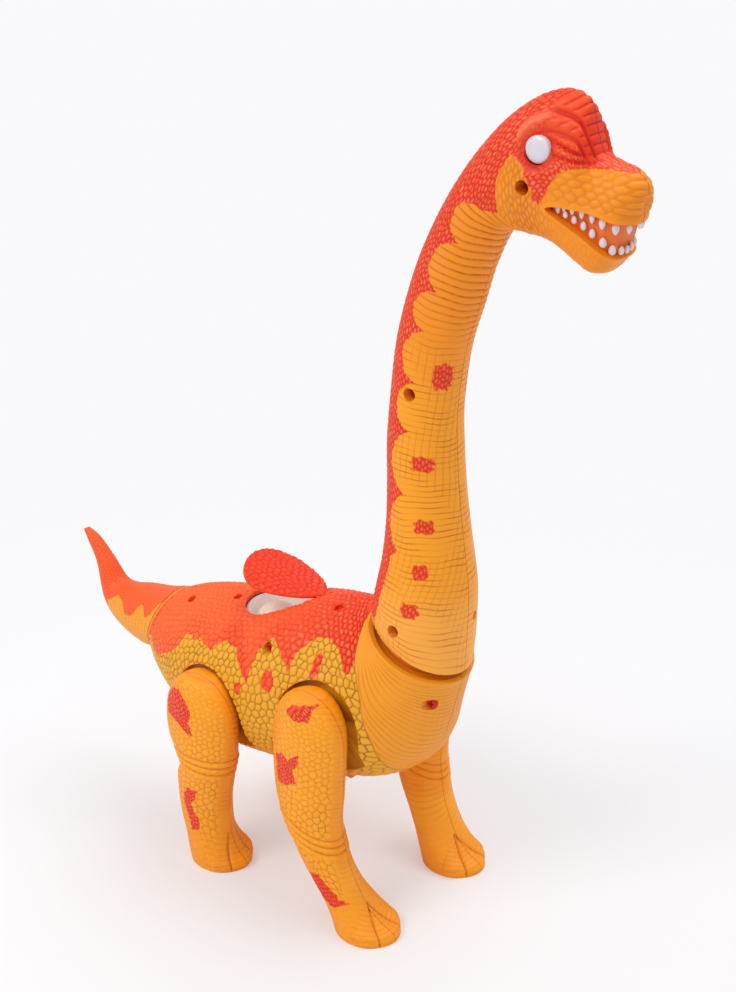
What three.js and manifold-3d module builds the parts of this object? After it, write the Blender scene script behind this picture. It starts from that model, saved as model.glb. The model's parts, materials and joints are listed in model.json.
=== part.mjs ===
// Walking, egg-laying long-necked toy dinosaur, about 43 cm tall.
// Millimetres. +X is forward, +Y is the animal's left, +Z is up. The soles stand on z = 0.

import * as THREE from 'three';
import { mergeVertices } from 'three/addons/utils/BufferGeometryUtils.js';
import Module from 'manifold-3d';

const wasm = await Module();
wasm.setup();

// Driving dimensions: shells
const stationSpacing = 19;
const shellWall = 2.2;
const legWall = 2.2;
const seamGap = 0.3;
const fit = 0.3;
const runningGap = 0.4;

// Driving dimensions: hips and legs
const frontHip = { x: 30, z: 109 };
const hindHip = { x: -42, z: 93 };
const legPlane = 45;
const pocketRadius = 24.5;
const pocketFloor = 31;
const axleRadius = 6;
const axleTipRadius = 3.5;
const soleSpread = 36.8;
const toeAngle = 30;
const toeGrooveDepth = 3.5;
const toeGrooveWidth = 1.2;
const toeHeight = 13;

// Driving dimensions: hip levers, side bars and cranks
const leverArm = 16;
const leverThickness = 3;
const leverPinRadius = 1.8;
const barThickness = 2.6;
const barHeight = 7;
const crankThrow = 3.3;
const crankDiscRadius = 7.5;
const crankDiscThickness = 3;

// Driving dimensions: gear train
const gearModule = 1;
const crankShaft = { x: 14, z: 110.5 };
const crankShaftRadius = 2;
const pinionTeeth = 8;
const firstWheelTeeth = 22;
const stepPinionTeeth = 10;
const secondWheelTeeth = 32;
const crankWheelTeeth = 28;
const toSecondWheel = 9;
const toFirstWheel = -62;
const toMotor = 36;
const gearFace = 3.5;
const gearSideGap = 0.8;
const caseWall = 1.5;
const caseNearSide = -15.2;
const motorRadius = 9.5;
const motorLength = 20.5;

// Driving dimensions: hatch, tray, chute and egg
const hatchLength = 46;
const hatchHalfWidth = 19;
const hatchHinge = { x: 2.4, z: 154 };
const hatchOpenAngle = 28;
const lidThickness = 1.6;
const lidGap = 0.5;
const knuckleRadius = 1.9;
const knuckleHalfLength = 4.2;
const hatchPinRadius = 0.8;
const trayWall = 1.6;
const trayFloor = 117.7;
const floorHoleRadius = 13;
const holeBehindHatch = 6.4;
const gateThickness = 1.6;
const eggHalfLength = 15;
const eggRadius = 11.5;
const eggBlunt = 0.12;
const chuteWall = 1.5;
const chuteExit = { x: -84, z: 70 };

// Driving dimensions: neck and tail joints
const collarDepth = 3;
const neckSpigotRadius = 18;
const tailSpigotRadius = 12;
const hubFlange = 2;
const tailRingThickness = 2.2;

// Driving dimensions: batteries
const cellRadius = 7.25;
const cellLength = 50.5;
const cellCount = 3;
const cellPitch = 15;
const cellAboveBelly = 10.35;
const bayRear = -38.5;
const bayWall = 1.5;
const springSpace = 2;
const doorGap = 0.4;

// Driving dimensions: screws, eyes and switch
const screwHeadRadius = 2.6;
const screwShankRadius = 1.3;
const screwHeadDepth = 1.8;
const screwLength = 14;
const boreRadius = 3.1;
const eyeRadius = 6.3;
const eyeCentre = { x: 127.7, z: 402.7 };
const switchTravel = 4;

// Driving dimensions: the hole low on the front of the neck
const frontHole = { x: 90, y: 7, z: 170.5 };
const frontHoleRadius = 2.4;

// Driving dimensions: speaker and circuit board
const speakerRadius = 11;
const speakerThickness = 4.4;
const boardLength = 24;
const boardHalfWidth = 14;
const boardThickness = 1.6;

// Helpers: solids
function toSolid(geometry) {
  let plain = geometry.clone();
  plain.deleteAttribute('normal');
  plain.deleteAttribute('uv');
  plain = mergeVertices(plain, 1e-4);
  let index = Uint32Array.from(plain.index.array);
  const mesh = () => new wasm.Mesh({
    numProp: 3,
    vertProperties: Float32Array.from(plain.attributes.position.array),
    triVerts: index,
  });
  let result = new wasm.Manifold(mesh());
  if (result.volume() < 0) {
    index = index.map((v, i, all) => (i % 3 === 1 ? all[i + 1] : i % 3 === 2 ? all[i - 1] : v));
    result = new wasm.Manifold(mesh());
  }
  return result;
}

function toGeometry(solid) {
  const mesh = solid.getMesh();
  const geometry = new THREE.BufferGeometry();
  geometry.setAttribute('position', new THREE.BufferAttribute(Float32Array.from(mesh.vertProperties), 3));
  geometry.setIndex(new THREE.BufferAttribute(Uint32Array.from(mesh.triVerts), 1));
  geometry.computeVertexNormals();
  return geometry;
}

function block(x0, x1, y0, y1, z0, z1) {
  const geometry = new THREE.BoxGeometry(x1 - x0, y1 - y0, z1 - z0);
  geometry.translate((x0 + x1) / 2, (y0 + y1) / 2, (z0 + z1) / 2);
  return toSolid(geometry);
}

// A round rod parallel to Y.
function crossRod(place, radius, y0, y1, sides = 20) {
  const geometry = new THREE.CylinderGeometry(radius, radius, y1 - y0, sides);
  geometry.translate(place.x, (y0 + y1) / 2, place.z);
  return toSolid(geometry);
}

// A turned piece: profile pairs of [radius, distance along axis], starting and ending on the axis.
function turned(profile, origin, axis, sides = 24) {
  const points = profile.map(([radius, along]) => new THREE.Vector2(radius, along));
  const geometry = new THREE.LatheGeometry(points, sides);
  const turn = new THREE.Quaternion().setFromUnitVectors(new THREE.Vector3(0, 1, 0), axis);
  geometry.applyQuaternion(turn);
  geometry.translate(origin.x, origin.y, origin.z);
  return toSolid(geometry);
}

// A straight round rod from origin along axis.
function rod(origin, axis, radius, from, to, sides = 20) {
  return turned([[0, from], [radius, from], [radius, to], [0, to]], origin, axis, sides);
}

// An outline in the XZ plane, given a thickness along Y.
function plateXZ(points, y0, y1) {
  const shape = new THREE.Shape(points.map(([x, z]) => new THREE.Vector2(x, z)));
  const geometry = new THREE.ExtrudeGeometry(shape, { depth: y1 - y0, bevelEnabled: false });
  geometry.rotateX(Math.PI / 2);
  geometry.translate(0, y1, 0);
  return toSolid(geometry);
}

// An outline in the XY plane, given a height along Z.
function plateXY(points, z0, z1) {
  const shape = new THREE.Shape(points.map(([x, y]) => new THREE.Vector2(x, y)));
  const geometry = new THREE.ExtrudeGeometry(shape, { depth: z1 - z0, bevelEnabled: false });
  geometry.translate(0, 0, z0);
  return toSolid(geometry);
}

function mirrored(solid) {
  return solid.mirror([0, 1, 0]);
}

// Everything beyond a plane, as a large block.
function beyond(origin, axis, reach = 500) {
  const geometry = new THREE.BoxGeometry(2 * reach, reach, 2 * reach);
  geometry.translate(0, reach / 2, 0);
  const turn = new THREE.Quaternion().setFromUnitVectors(new THREE.Vector3(0, 1, 0), axis);
  geometry.applyQuaternion(turn);
  geometry.translate(origin.x, origin.y, origin.z);
  return toSolid(geometry);
}

const rightAway = new THREE.Vector3(0, -1, 0);
const leftAway = new THREE.Vector3(0, 1, 0);

function rightHalf(solid) {
  return solid.subtract(beyond(new THREE.Vector3(0, -seamGap / 2, 0), leftAway));
}

function leftHalf(solid) {
  return solid.subtract(beyond(new THREE.Vector3(0, seamGap / 2, 0), rightAway));
}

// Helpers: lofts. A station is one cross-section of the animal, standing across its spine:
// top and bottom points in the XZ plane, half width, where along top to bottom it is widest,
// and how pointed or square its upper and lower halves are (2 is an ellipse).
function station(topX, topZ, bottomX, bottomZ, half, widest = 0.5, above = 2, below = 2, middle = 0) {
  return { topX, topZ, bottomX, bottomZ, half, widest, above, below, middle };
}

// The same stations drawn in by a wall thickness.
function drawnIn(stations, depth) {
  return stations.map((s) => {
    const length = Math.hypot(s.topX - s.bottomX, s.topZ - s.bottomZ);
    const share = Math.min(depth / length, 0.48);
    const topX = s.topX + (s.bottomX - s.topX) * share;
    const topZ = s.topZ + (s.bottomZ - s.topZ) * share;
    const bottomX = s.bottomX + (s.topX - s.bottomX) * share;
    const bottomZ = s.bottomZ + (s.topZ - s.bottomZ) * share;
    return { ...s, topX, topZ, bottomX, bottomZ, half: Math.max(s.half - depth, 0.3) };
  });
}

// How fast a value of the stations changes at one of them, by the widths of the steps on either side.
function slopeAt(stations, widths, i, key) {
  const before = i > 0 ? (stations[i][key] - stations[i - 1][key]) / widths[i - 1] : null;
  const after = i < widths.length ? (stations[i + 1][key] - stations[i][key]) / widths[i] : null;
  if (before === null) return after;
  if (after === null) return before;
  return (before * widths[i] + after * widths[i - 1]) / (widths[i - 1] + widths[i]);
}

// The same stations with more of them, on a smooth curve, wherever two stand far apart.
function smoothed(stations) {
  const widths = stations.slice(1).map((s, i) => Math.sqrt(Math.hypot(
    s.topX - stations[i].topX,
    s.topZ - stations[i].topZ,
    s.bottomX - stations[i].bottomX,
    s.bottomZ - stations[i].bottomZ,
  )));
  const result = [];
  widths.forEach((width, i) => {
    const count = Math.max(Math.round(width ** 2 / stationSpacing), 1);
    for (let k = 0; k < count; k += 1) {
      const u = k / count;
      const made = {};
      for (const key of Object.keys(stations[i])) {
        made[key] = (2 * u ** 3 - 3 * u ** 2 + 1) * stations[i][key]
          + (u ** 3 - 2 * u ** 2 + u) * width * slopeAt(stations, widths, i, key)
          + (3 * u ** 2 - 2 * u ** 3) * stations[i + 1][key]
          + (u ** 3 - u ** 2) * width * slopeAt(stations, widths, i + 1, key);
      }
      result.push(made);
    }
  });
  return [...result, stations[stations.length - 1]];
}

function sectionPoint(s, angle) {
  const up = Math.cos(angle);
  const side = Math.sin(angle);
  const power = 2 / (up >= 0 ? s.above : s.below);
  const reach = Math.abs(up) ** power;
  const along = up >= 0 ? s.widest * (1 - reach) : s.widest + (1 - s.widest) * reach;
  const across = s.half * Math.abs(side) ** power * Math.sign(side);
  const x = s.topX + (s.bottomX - s.topX) * along;
  const z = s.topZ + (s.bottomZ - s.topZ) * along;
  return [x, s.middle + across, z];
}

function loft(stations, sides) {
  const position = [];
  const index = [];
  for (const s of stations) {
    for (let k = 0; k < sides; k += 1) position.push(...sectionPoint(s, (2 * Math.PI * k) / sides));
  }
  for (let i = 0; i < stations.length - 1; i += 1) {
    for (let k = 0; k < sides; k += 1) {
      const a = i * sides + k;
      const b = i * sides + ((k + 1) % sides);
      index.push(a, a + sides, b, b, a + sides, b + sides);
    }
  }
  const ends = [[stations[0], 0, false], [stations[stations.length - 1], (stations.length - 1) * sides, true]];
  for (const [s, first, last] of ends) {
    const hub = position.length / 3;
    position.push((s.topX + s.bottomX) / 2, s.middle, (s.topZ + s.bottomZ) / 2);
    for (let k = 0; k < sides; k += 1) {
      const a = first + k;
      const b = first + ((k + 1) % sides);
      if (last) index.push(hub, b, a);
      else index.push(hub, a, b);
    }
  }
  const geometry = new THREE.BufferGeometry();
  geometry.setAttribute('position', new THREE.Float32BufferAttribute(position, 3));
  geometry.setIndex(index);
  return toSolid(geometry);
}

// Helpers: the scene graph
const group = new THREE.Group();

function finish(colour, roughness = 0.5, metalness = 0) {
  return () => new THREE.MeshStandardMaterial({ color: colour, roughness, metalness });
}

const orangeShell = finish(0xe8963a);
const brightOrange = finish(0xf58a1f);
const redShell = finish(0xe8452c);
const whitePlastic = finish(0xf2f0ea, 0.4);
const toothWhite = finish(0xf7f5ee, 0.35);
const milkyPlastic = finish(0xe9e4ea, 0.25);
const creamPlastic = finish(0xf1e6cf, 0.4);
const deepOrange = finish(0xc8621c);
const gearNylon = finish(0xe6e2d4, 0.45);
const caseGrey = finish(0x6f7378, 0.55);
const steel = finish(0xb9bcc0, 0.3, 0.9);
const boardGreen = finish(0x2f6b45, 0.5);
const cellBlack = finish(0x33363a, 0.4);
const speakerBlack = finish(0x24262a, 0.6);

function addPiece(name, solid, material) {
  const mesh = new THREE.Mesh(toGeometry(solid), material());
  mesh.name = name;
  group.add(mesh);
}

// Body stations, from the tail ring to the rim of the collar
const bodyStations = [
  station(-97.5, 127, -110, 86, 20),
  station(-88, 131.5, -99, 78, 27),
  station(-72, 136.5, -76, 66, 36),
  station(-45, 142.5, -43, 58.5, 42.5),
  station(-20, 149.5, -15, 60, 43.5),
  station(0, 155.5, 8, 64, 43.5, 0.52),
  station(15, 159.5, 28, 67, 43, 0.55, 1.85),
  station(26, 162, 46, 72, 42, 0.58, 1.75),
  station(32, 163, 59.5, 79, 39.5, 0.6, 1.75),
  station(35, 163, 70, 88, 35.5, 0.58, 1.8),
  station(36.5, 162.7, 76.5, 99, 31.5, 0.55, 1.9),
  station(37.5, 162.5, 80.5, 112, 28.3, 0.52),
  station(38, 162.5, 84, 125, 27),
  station(38.3, 162.5, 87.7, 139, 26.5),
];

// Neck and head stations, from the foot of the neck to the tip of the snout
const neckStations = [
  station(38.9, 166.6, 88.6, 143.4, 23.6),
  station(38.7, 169, 89.2, 156, 25.2),
  station(40.4, 177, 89.9, 172, 24.7),
  station(42.5, 187, 89.9, 184.5, 23.6),
  station(44.4, 197, 88.8, 195.4, 22),
  station(46.1, 216.5, 85.7, 216, 19.7),
  station(46.2, 236, 83.2, 236, 18.4),
  station(45.9, 256.5, 81.7, 255, 17.8),
  station(47.3, 277, 81.3, 274.5, 16.9),
  station(51.1, 307.5, 84.9, 303, 16.8),
  station(59.1, 336.4, 91.5, 325.5, 16.8),
  station(68, 358, 97.8, 345.5, 16.2),
  station(80.5, 380.5, 107, 361.5, 16.6),
  station(92.5, 398, 116, 362, 17.4),
  station(106.5, 413.5, 126, 362, 17.8, 0.5, 1.9),
  station(122, 423, 133, 361.3, 17.5, 0.5, 1.7),
  station(135.5, 425.8, 139.5, 359.5, 16.8, 0.52, 1.5),
  station(144, 422, 145.5, 357, 15.6, 0.5, 1.5),
  station(148.7, 411, 150.5, 355.3, 14.5, 0.45, 1.6),
  station(152, 402.5, 154.5, 356.3, 13.7, 0.45, 1.9),
  station(158, 399.5, 158, 359.5, 13.2, 0.45),
  station(164.5, 397.5, 163, 366, 11.8, 0.45),
  station(168.8, 393, 167.5, 373, 8.5, 0.45),
  station(170.5, 388, 170.3, 380, 3.5, 0.45),
];

// Tail stations behind its ring, from the root to the tip
const tailStations = [
  station(-112, 123, -119.5, 87.5, 17.6),
  station(-126.8, 120.3, -132.5, 90, 15.1),
  station(-137.5, 117.6, -146.5, 96, 11.6),
  station(-144, 118.2, -155, 104.5, 8.8),
  station(-152.5, 129, -162, 125.5, 5.2),
  station(-163, 139.5, -168, 135, 3.5),
  station(-169.5, 142.7, -172.6, 140.9, 1.6),
];

// A leg section lies flat or leans with the shin: centre, height, half length, half width, tilt.
// Heights and centres are measured from the hip, and inward from the plane of the hip.
function legSection(hip, forward, down, long, wide, inward, tilt = 0) {
  const x = hip.x + forward;
  const z = hip.z - down;
  const lean = tilt * long;
  return station(x + long, z - lean, x - long, z + lean, wide, 0.5, 2, 2, -(legPlane - inward));
}

const frontLegStations = [
  legSection(frontHip, 0, -22.2, 3, 3, 0),
  legSection(frontHip, 0, -20.5, 9, 8, 0),
  legSection(frontHip, 0, -16, 14.8, 11, 0),
  legSection(frontHip, 0, -6, 19.9, 12.8, 0),
  legSection(frontHip, -0.5, 29, 19.6, 12.9, 0),
  legSection(frontHip, 0.8, 49, 17.2, 12.7, 1, 0.15),
  legSection(frontHip, 4.8, 67, 15, 12.7, 2.6, 0.35),
  legSection(frontHip, 8.8, 76, 14.6, 12.7, 3.8, 0.45),
  legSection(frontHip, 15, 87, 14.6, 13, 5.4, 0.5),
  legSection(frontHip, 21.5, 96, 15.8, 14.2, 7, 0.35),
  legSection(frontHip, 27, 103, 17.2, 15.6, 8, 0.12),
  legSection(frontHip, 28.6, frontHip.z, 16.6, 15.2, legPlane - soleSpread),
];

const hindLegStations = [
  legSection(hindHip, 0, -22.2, 3, 3, 0),
  legSection(hindHip, 0, -20.5, 9.4, 8, 0),
  legSection(hindHip, 0, -16, 15.2, 11, 0),
  legSection(hindHip, 0, -6, 20.6, 12.8, 0),
  legSection(hindHip, 0, 13, 20.8, 13, 0),
  legSection(hindHip, 1.5, 25, 18, 12.8, 0.6),
  legSection(hindHip, 1.5, 35, 15.6, 12.6, 1.4, -0.05),
  legSection(hindHip, -2.6, 53, 14.4, 12.5, 3, 0.02),
  legSection(hindHip, -3.8, 69, 14.3, 12.8, 5, 0.35),
  legSection(hindHip, -1.8, 79, 15.2, 13.9, 6.8, 0.35),
  legSection(hindHip, 0.5, 87, 16.4, 15.3, 8, 0.1),
  legSection(hindHip, 1, hindHip.z, 15.8, 14.9, legPlane - soleSpread),
];

// The plane of a joint across the animal: its middle, the line up it and the axis square to it
function jointPlane(s) {
  const up = new THREE.Vector3(s.topX - s.bottomX, 0, s.topZ - s.bottomZ);
  const halfLength = up.length() / 2;
  up.normalize();
  const centre = new THREE.Vector3((s.topX + s.bottomX) / 2, 0, (s.topZ + s.bottomZ) / 2);
  return { centre, up, halfLength };
}

const collar = jointPlane(bodyStations[bodyStations.length - 1]);
collar.axis = new THREE.Vector3(-collar.up.z, 0, collar.up.x).multiplyScalar(-1);
const tailRing = jointPlane(bodyStations[0]);
tailRing.axis = new THREE.Vector3(-tailRing.up.z, 0, tailRing.up.x);

function along(joint, distance) {
  return joint.centre.clone().addScaledVector(joint.axis, distance);
}

// The stations with one more past the last, shifted along an axis.
function carriedOn(stations, axis, distance) {
  const last = stations[stations.length - 1];
  return [...stations, {
    ...last,
    topX: last.topX + axis.x * distance,
    topZ: last.topZ + axis.z * distance,
    bottomX: last.bottomX + axis.x * distance,
    bottomZ: last.bottomZ + axis.z * distance,
  }];
}

// Body shell
const bodySides = 20;
const bodyInnerSides = 16;
const bodyCurve = smoothed(bodyStations);
const bodyOuter = loft(bodyCurve, bodySides);
const bodyInner = loft(carriedOn(drawnIn(bodyStations, shellWall), collar.axis, 4), bodyInnerSides);

function hipPocket(hip, grow) {
  const radius = pocketRadius + grow;
  const floor = pocketFloor - grow;
  const drop = hip.z;
  const flare = radius + 8;
  const round = crossRod(hip, radius, -90, -floor, 16);
  const below = plateXZ([
    [hip.x - radius, hip.z],
    [hip.x - radius, hip.z - radius * 0.4],
    [hip.x - flare, hip.z - drop],
    [hip.x + flare, hip.z - drop],
    [hip.x + radius, hip.z - radius * 0.4],
    [hip.x + radius, hip.z],
  ], -90, -floor);
  return round.add(below);
}

function bothSides(solid) {
  return solid.add(mirrored(solid));
}

const pockets = bothSides(hipPocket(frontHip, 0).add(hipPocket(hindHip, 0)));
const pocketWalls = bothSides(hipPocket(frontHip, shellWall).add(hipPocket(hindHip, shellWall)));

// The egg-shaped outline of the hatch in plan, wide behind and narrow at its hinge
const hatchFront = hatchHinge.x - knuckleRadius + 0.5;
const hatchMiddle = hatchFront - hatchLength * 0.6;

function hatchOutline(grow) {
  const points = [];
  const steps = 14;
  for (let k = 0; k < steps; k += 1) {
    const angle = (2 * Math.PI * k) / steps;
    const behind = Math.cos(angle) < 0;
    const reach = (behind ? hatchLength * 0.4 : hatchLength * 0.6) + grow;
    const taper = behind ? 1 : 1 - 0.25 * Math.cos(angle);
    const half = (hatchHalfWidth + grow) * taper;
    points.push([hatchMiddle + reach * Math.cos(angle), half * Math.sin(angle)]);
  }
  return points;
}

const aboveAll = 190;
const hatchCut = plateXY(hatchOutline(0), trayFloor, aboveAll);
const knuckleNotch = block(
  hatchHinge.x - 6,
  hatchHinge.x + knuckleRadius + 0.6,
  -knuckleHalfLength - runningGap,
  knuckleHalfLength + runningGap,
  hatchHinge.z - knuckleRadius - 1.2,
  aboveAll,
);

// Sunken screws that enter from the right. mouth is where the bore meets the skin.
const screws = [
  { name: 'chest_screw', part: 'body', x: 79.8, z: 128.2, mouth: 18.5, seat: 12 },
  { name: 'flank_screw', part: 'body', x: -7.2, z: 136.2, mouth: 34, seat: 29 },
  { name: 'rump_screw', part: 'body', x: -45, z: 71, mouth: 30, seat: 24 },
  { name: 'neck_screw_lower', part: 'neck', x: 64.5, z: 167, mouth: 24.5, seat: 16 },
  { name: 'neck_screw_upper', part: 'neck', x: 66.3, z: 283.8, mouth: 16.5, seat: 10.5 },
  { name: 'head_screw', part: 'neck', x: 123.3, z: 387.4, mouth: 17, seat: 10.5 },
];

function screwPiece(screw) {
  const head = -screw.seat - fit;
  return turned([
    [0, 0],
    [screwHeadRadius * 0.8, 0],
    [screwHeadRadius, -screwHeadDepth],
    [screwShankRadius, -screwHeadDepth],
    [screwShankRadius, -screwHeadDepth - screwLength],
    [0, -screwHeadDepth - screwLength],
  ], new THREE.Vector3(screw.x, head - screwHeadDepth, screw.z), rightAway, 8);
}

function screwPosts(screw, outline) {
  const bossRadius = boreRadius + 1.5;
  return crossRod(screw, bossRadius, -screw.mouth - 6, screw.mouth + 6, 8).intersect(outline);
}

function screwBores(screw) {
  const bore = crossRod(screw, boreRadius, -90, -screw.seat, 10);
  const clearance = crossRod(screw, screwShankRadius + fit, -screw.seat - 1, -seamGap, 6);
  const blind = screwLength - screw.seat + 2;
  const pilot = crossRod(screw, screwShankRadius + 0.2, -1, Math.max(blind, 1), 6);
  return bore.add(clearance).add(pilot);
}

function addScrews(part, shell, outline) {
  let result = shell;
  for (const screw of screws.filter((s) => s.part === part)) result = result.add(screwPosts(screw, outline));
  for (const screw of screws.filter((s) => s.part === part)) result = result.subtract(screwBores(screw));
  return result;
}

// Three wells sunk in the right of the back, square to the skin
const backWells = [
  { x: -79, y: -12, z: 131.6 },
  { x: -50.5, y: -7, z: 140.6 },
  { x: 19.3, y: -10, z: 158.9 },
];

function backWell(place, radius, depth, above) {
  const origin = new THREE.Vector3(place.x, place.y, place.z);
  const inward = new THREE.Vector3(0, 0.32, -1).normalize();
  return rod(origin, inward, radius, -above, depth, 8);
}

// Battery bay, its door in the belly and the cells
const bellyHeight = Math.min(...bodyStations.map((s) => s.bottomZ));
const cellHeight = bellyHeight + shellWall + cellAboveBelly + cellRadius + 1.5;
const bayLength = cellLength + 2 * springSpace + 2 * bayWall;
const bayFront = bayRear + bayLength;
const bayHalfWidth = ((cellCount - 1) * cellPitch) / 2 + cellRadius + 0.5 + bayWall;
const bayTop = cellHeight + cellRadius + fit + bayWall;
const bayFoot = cellHeight - 2.3;
const doorHalfWidth = bayHalfWidth - bayWall - 0.5;
const doorTop = bayFoot - 1;
const cellFromX = bayRear + bayWall + springSpace;

function doorBlock(grow) {
  return block(bayRear + bayWall - grow, bayFront - bayWall + grow,
    -doorHalfWidth - grow, doorHalfWidth + grow, 30, doorTop + grow);
}

// Egg chute from the tray down to the exit behind the hind legs
const chuteInner = eggRadius + 1.2;
const chuteOuter = chuteInner + chuteWall;
const gateTop = trayFloor - runningGap;
const chuteTop = gateTop - gateThickness - runningGap;
const floorHole = { x: hatchMiddle - holeBehindHatch, z: trayFloor };
const chuteEntry = new THREE.Vector3(floorHole.x, 0, chuteTop);
const chuteAxis = new THREE.Vector3(chuteExit.x, 0, chuteExit.z).sub(chuteEntry).normalize();

function chuteTube(radius) {
  return rod(chuteEntry, chuteAxis, radius, -30, 90, 16);
}

// Switch on the belly in front of the battery door
const switchPlace = { x: bayFront + 8, y: -11, z: 70 };
const switchKnobHalf = 2.5;
const switchSlot = block(
  switchPlace.x - switchKnobHalf - runningGap,
  switchPlace.x + switchKnobHalf + switchTravel + runningGap,
  switchPlace.y - 2 - runningGap,
  switchPlace.y + 2 + runningGap,
  50,
  switchPlace.z + 12,
);

function bodyShell() {
  const deckUnder = -collarDepth - shellWall;
  const cavity = bodyInner
    .subtract(beyond(along(collar, deckUnder), collar.axis))
    .subtract(beyond(along(tailRing, -shellWall), tailRing.axis))
    .subtract(pocketWalls);
  const recess = bodyInner.intersect(beyond(along(collar, -collarDepth), collar.axis));
  const spigotHole = rod(collar.centre, collar.axis, neckSpigotRadius + runningGap, -20, 10, 20);
  const tailHole = rod(tailRing.centre, tailRing.axis, tailSpigotRadius + runningGap, -20, 10, 16);
  const hingePosts = block(hatchHinge.x - 2.6, hatchHinge.x + 3, -8, 8, hatchHinge.z - 3, aboveAll)
    .intersect(bodyOuter);
  let shell = bodyOuter.subtract(cavity).add(hingePosts);
  for (const well of backWells) {
    shell = shell.add(backWell(well, boreRadius + 0.8, 4.2, 0).intersect(bodyOuter));
  }
  shell = addScrews('body', shell, bodyOuter.subtract(pocketWalls));
  shell = shell.subtract(recess).subtract(pockets).subtract(spigotHole).subtract(tailHole);
  shell = shell.subtract(hatchCut).subtract(knuckleNotch);
  shell = shell.subtract(crossRod(hatchHinge, hatchPinRadius + 0.2, -6.8, 6.8, 8));
  for (const well of backWells) shell = shell.subtract(backWell(well, boreRadius - 0.6, 2.8, 6));
  shell = shell.subtract(doorBlock(doorGap));
  shell = shell.subtract(chuteTube(chuteOuter + fit).intersect(block(-130, -56, -40, 40, 40, 96)));
  for (const hip of [frontHip, hindHip]) {
    shell = shell.subtract(crossRod(hip, axleRadius + runningGap, -60, 60, 16));
  }
  return shell;
}

const wholeBody = bodyShell();
addPiece('body_right', rightHalf(wholeBody).subtract(switchSlot), orangeShell);
addPiece('body_left', leftHalf(wholeBody), orangeShell);

// Hatch lid: a piece of the back's own skin, turned open about its pin
function hatchLid() {
  const skin = bodyOuter.subtract(loft(drawnIn(bodyCurve, lidThickness), bodySides));
  const panel = skin.intersect(plateXY(hatchOutline(-lidGap), trayFloor, aboveAll));
  const tongue = block(hatchHinge.x - 4, hatchHinge.x, -knuckleHalfLength, knuckleHalfLength,
    hatchHinge.z - 0.6, hatchHinge.z + 1);
  const knuckle = crossRod(hatchHinge, knuckleRadius, -knuckleHalfLength, knuckleHalfLength, 10);
  const bore = crossRod(hatchHinge, hatchPinRadius + 0.2, -20, 20, 8);
  return panel.add(tongue).add(knuckle).subtract(bore);
}

function turnedAbout(solid, place, degrees) {
  return solid
    .translate([-place.x, 0, -place.z])
    .rotate([0, degrees, 0])
    .translate([place.x, 0, place.z]);
}

addPiece('hatch_lid', turnedAbout(hatchLid(), hatchHinge, hatchOpenAngle), redShell);
addPiece('hatch_pin', crossRod(hatchHinge, hatchPinRadius, -6.4, 6.4, 8), steel);

// Egg tray, gate, chute and egg
function eggTray() {
  const under = loft(drawnIn(bodyCurve, lidThickness + 1.2), bodySides);
  const hollow = plateXY(hatchOutline(-fit - trayWall), trayFloor + trayWall, aboveAll);
  const hole = rod(new THREE.Vector3(floorHole.x, 0, trayFloor), new THREE.Vector3(0, 0, 1), floorHoleRadius, -5, 10);
  const frontEnd = crankShaft.x - pitchRadius(crankWheelTeeth) - 4.5;
  const behindGears = block(-80, frontEnd, -40, 40, trayFloor - 5, aboveAll);
  const front = block(frontEnd - trayWall, frontEnd + 20, -40, 40, trayFloor, aboveAll);
  return plateXY(hatchOutline(-fit), trayFloor, aboveAll)
    .intersect(under)
    .intersect(behindGears)
    .subtract(hollow.subtract(front))
    .subtract(hole)
    .subtract(knuckleNotch);
}

addPiece('egg_tray', eggTray(), whitePlastic);

const gateHalfWidth = floorHoleRadius + 1;
addPiece('egg_gate', block(
  floorHole.x - gateHalfWidth,
  floorHole.x + gateHalfWidth,
  -gateHalfWidth,
  gateHalfWidth,
  gateTop - gateThickness,
  gateTop,
), whitePlastic);

function eggChute() {
  const limits = block(-140, 20, -40, 40, 30, chuteTop);
  return chuteTube(chuteOuter)
    .subtract(rod(chuteEntry, chuteAxis, chuteInner, -60, 120, 16))
    .intersect(limits)
    .intersect(bodyOuter);
}

addPiece('egg_chute', eggChute(), whitePlastic);

// The egg lies along the back, on the gate.
const eggCentre = new THREE.Vector3(hatchMiddle, 0, gateTop + fit + eggRadius * (1 + eggBlunt * eggBlunt));

function egg() {
  const profile = [];
  const steps = 8;
  for (let k = 0; k <= steps; k += 1) {
    const angle = (Math.PI * k) / steps;
    const blunt = 1 + eggBlunt * Math.cos(angle);
    profile.push([eggRadius * Math.sin(angle) * (k === steps ? 0 : 1) * blunt, -eggHalfLength * Math.cos(angle)]);
  }
  return turned(profile, eggCentre, new THREE.Vector3(1, 0, 0), 12);
}

addPiece('egg', egg(), creamPlastic);

// Neck and head shell
const neckSides = 16;
const neckInnerSides = 10;
const neckOuter = loft(smoothed(neckStations), neckSides);

function neckInner() {
  const upward = drawnIn(neckStations, shellWall).slice(0, -2);
  return loft(carriedOn(upward.reverse(), collar.axis, -8).reverse(), neckInnerSides);
}

// The open mouth, seen from the side: a wedge from its corner to the front of the snout
const mouthCorner = { x: 132.5, z: 380.8 };
const mouthDepth = 3;

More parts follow.
